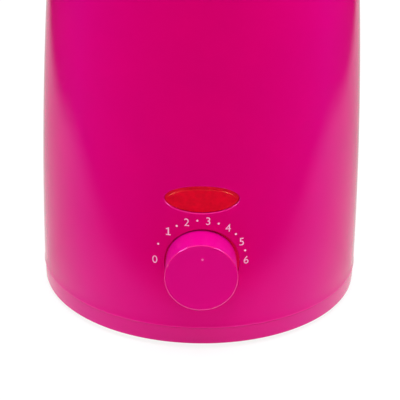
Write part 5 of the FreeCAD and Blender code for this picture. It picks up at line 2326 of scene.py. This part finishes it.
@dataclass
class DialPrint:
    """The scale printed round the knob: plain numbers with a dot between each two.

    Attributes:
        barrel: The casing's curve.
        level: Level of the circle's middle.
        aside: How far that middle lies beside the knob's axis.
        circle: Radius of the circle of numbers.
        height: Height of a number.
        film: Thickness of the ink.
        sunk: How far the ink reaches into the wall.
        font_size: Size at which the numbers are first made.
        stroke: What is added to the width of their strokes at that size.
        curve_steps: Divisions of their curves.
        first: Angle of 0 from the top in degrees.
        second: Angle of 1.
        step: Angle from each later number to the next.
        last: The highest number.
        dot: Radius of a dot.
        dot_sectors: Divisions round a dot.
    """

    ONE: ClassVar[tuple[Spot, ...]] = (
        (-0.95, 0.0), (1.05, 0.0), (1.05, 0.12), (0.33, 0.12), (0.33, 1.0), (-0.1, 1.0),
        (-1.0, 0.87), (-0.93, 0.76), (-0.2, 0.83), (-0.2, 0.12), (-0.95, 0.12),
    )

    barrel: Barrel
    level: float = 43.28
    aside: float = -0.24
    circle: float = 19.95
    height: float = 3.55
    film: float = 0.05
    sunk: float = 0.01
    font_size: float = 5.0
    stroke: float = -0.03
    curve_steps: int = 6
    first: float = -90.4
    second: float = -45.2
    step: float = 27.0
    last: int = 6
    dot: float = 0.45
    dot_sectors: int = 20

    def build(self) -> None:
        """Make the numbers and the dots."""
        mesher = Mesher()
        for number in range(self.last + 1):
            angle = self.first if number == 0 else self.second + self.step * (number - 1)
            if number == 1:
                self.one(mesher, math.radians(angle))
            else:
                self.number(mesher, str(number), math.radians(angle))
        settle(mesher.build("dial_numbers", INK), Body.HOUSING, "magenta_plastic")
        outline = ((0.0, 0.0), (self.dot, 0.0), (self.dot, self.film), (0.0, self.film))
        runs = profile([Bend(*spot) for spot in outline], closed=False)
        middle = (self.first + self.second) / 2
        after = self.second + self.step / 2
        sets = (("dial_dot_low", 1, middle), ("dial_dots", self.last - 1, after))
        for name, count, start in sets:
            disc = Mesher()
            Spindle(sectors=self.dot_sectors).turn(disc, runs)
            ring = RingOfCopies.make(
                disc.build(name, INK), INK, count, self.circle, 90.0 - start, -self.step
            )
            for corner in ring.data.vertices:
                x, y, up = corner.co / MM
                corner.co = self.wrap(self.aside + x, self.level + y, up) * MM
            settle(ring, Body.HOUSING, "magenta_plastic")

    def wrap(self, aside: float, level: float, proud: float) -> Vector:
        """Point on the casing at a place aside, a level and a height above its face."""
        point, normal = self.barrel.surface()(self.barrel.angle(aside, level), level)
        return point + normal * (proud - self.sunk)

    def one(self, mesher: Mesher, angle: float) -> None:
        """Add the number 1, with a flag and a foot.

        Args:
            mesher: Takes the faces.
            angle: Its angle from the top in radians.
        """
        aside = self.aside + self.circle * math.sin(angle)
        low = self.level + self.circle * math.cos(angle) - self.height / 2
        outline = [(aside + x, low + part * self.height) for x, part in self.ONE]

        def front(x: float, level: float) -> Ray:
            """Point and normal of a place on the ink."""
            return self.wrap(x, level, self.film), Vector((0.0, -1.0, 0.0))

        def back(x: float, level: float) -> Ray:
            """Point and normal of a place under the ink."""
            return self.wrap(x, level, 0.0), Vector((0.0, 1.0, 0.0))

        fill(mesher, [outline], [], front)
        fill(mesher, [outline], [], back)
        for first, second in zip(outline, outline[1:] + outline[:1]):
            out = Vector((second[1] - first[1], 0.0, first[0] - second[0]))
            corners = (front(*first)[0], front(*second)[0], back(*second)[0], back(*first)[0])
            mesher.face([(corner, out) for corner in corners])

    def number(self, mesher: Mesher, text: str, angle: float) -> None:
        """Add one number.

        Args:
            mesher: Takes the faces.
            text: The number.
            angle: Its angle from the top in radians.
        """
        curve = bpy.data.curves.new("number", "FONT")
        curve.body = text
        curve.size = self.font_size
        curve.extrude = self.film / 2
        curve.offset = self.stroke
        curve.resolution_u = self.curve_steps
        mesh = evaluated(stand("number", curve))
        xs = [corner.co.x for corner in mesh.vertices]
        ys = [corner.co.y for corner in mesh.vertices]
        size = self.height / (max(ys) - min(ys))
        middle = Vector(((max(xs) + min(xs)) / 2, (max(ys) + min(ys)) / 2, -self.film / 2))
        across, along = self.circle * math.sin(angle), self.circle * math.cos(angle)
        place = Vector((self.aside + across, self.level + along, 0.0))
        for polygon in mesh.polygons:
            corners = []
            for number in polygon.vertices:
                spot = mesh.vertices[number].co - middle
                spot = Vector((spot.x * size, spot.y * size, spot.z)) + place
                turned = Vector((polygon.normal.x, -polygon.normal.z, polygon.normal.y))
                corners.append((self.wrap(spot.x, spot.y, spot.z), turned))
            mesher.face(corners)
        bpy.data.meshes.remove(mesh)


@dataclass
class LidKnob:
    """The cover's knob: a waisted stem under a domed cap.

    Attributes:
        low: Level of its foot.
        top: Level of its crown.
        foot: Radius of the foot.
        neck: Radius of the stem.
        cap: Radius of the cap.
        band: Height of the cap's side.
        crown: Height of the cap's dome.
        edge: Radius of the cap's edges.
        foot_edge: Radius of the foot's edge.
        waist: Radii at the stem's lower and upper end.
        bore: Radius of the hole for the screw.
        bore_depth: Depth of that hole.
        sectors: Divisions round the axis.
        steps: Divisions of each rounded corner.
        parts: Shares of the cap's radius that get a ring on the dome.
    """

    low: float = 189.0
    top: float = 208.0
    foot: float = 9.0
    neck: float = 6.5
    cap: float = 14.0
    band: float = 4.5
    crown: float = 2.0
    edge: float = 1.5
    foot_edge: float = 0.5
    waist: Spot = (1.6, 2.0)
    bore: float = 1.85
    bore_depth: float = 9.15
    sectors: int = 128
    steps: int = 10
    parts: tuple[float, ...] = (0.84, 0.7, 0.56, 0.42, 0.28, 0.14)

    def build(self) -> None:
        """Make the knob and let it stand for its node."""
        mesher = Mesher()
        under = self.top - self.crown - self.band
        ball = (self.cap**2 + self.crown**2) / (2 * self.crown)

        def dome(part: float) -> Bend:
            """Corner of the dome at a share of the cap's radius."""
            reach = self.cap * part
            return Bend(reach, self.top - ball + math.sqrt(ball**2 - reach**2), smooth=True)

        bends = [
            Bend(0.0, self.low + self.bore_depth),
            Bend(self.bore, self.low + self.bore_depth),
            Bend(self.bore, self.low),
            Bend(self.foot, self.low, self.foot_edge),
            Bend(self.neck, self.low + self.foot - self.neck, self.waist[0]),
            Bend(self.neck, under - (self.cap - self.neck) / 2, self.waist[1]),
            Bend(self.cap, under, self.edge),
            Bend(self.cap, under + self.band, self.edge),
            *(dome(part) for part in self.parts),
            Bend(0.0, self.top),
        ]
        runs = profile(bends, closed=False, steps=self.steps)
        Spindle(sectors=self.sectors).turn(mesher, runs)
        skin = mesher.build("lid_knob_skin", MAGENTA_KNOB)
        settle(skin, Body.COVER, "magenta_plastic", "lid_knob")


def dress_frame(nodes: dict[str, bpy.types.Object]) -> None:
    """Give every node of the frame its finish.

    Args:
        nodes: The frame's nodes by name.
    """
    for finish, names in NODE_FINISHES.items():
        for name in names:
            mesh = nodes[name].data
            mesh.materials.clear()
            mesh.materials.append(finish.material())
            LOG.info("node %s takes %s", name, finish.name)


def main() -> None:
    """Build the warmer's looks round its frame."""
    logging.basicConfig(level=logging.INFO, format="%(name)s: %(message)s")
    for thing in list(bpy.data.objects):
        bpy.data.objects.remove(thing)
    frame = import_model()
    Viewpoint().place()
    Studio().build()
    dress_frame(frame["nodes"])
    barrel = Barrel()
    panel = FrontPanel()
    OuterShell(barrel, panel).build()
    ControlKnob(barrel, panel).build()
    IndicatorLens(barrel, panel).build()
    DialPrint(barrel).build()
    LidKnob().build()


if __name__ == "__main__":
    main()
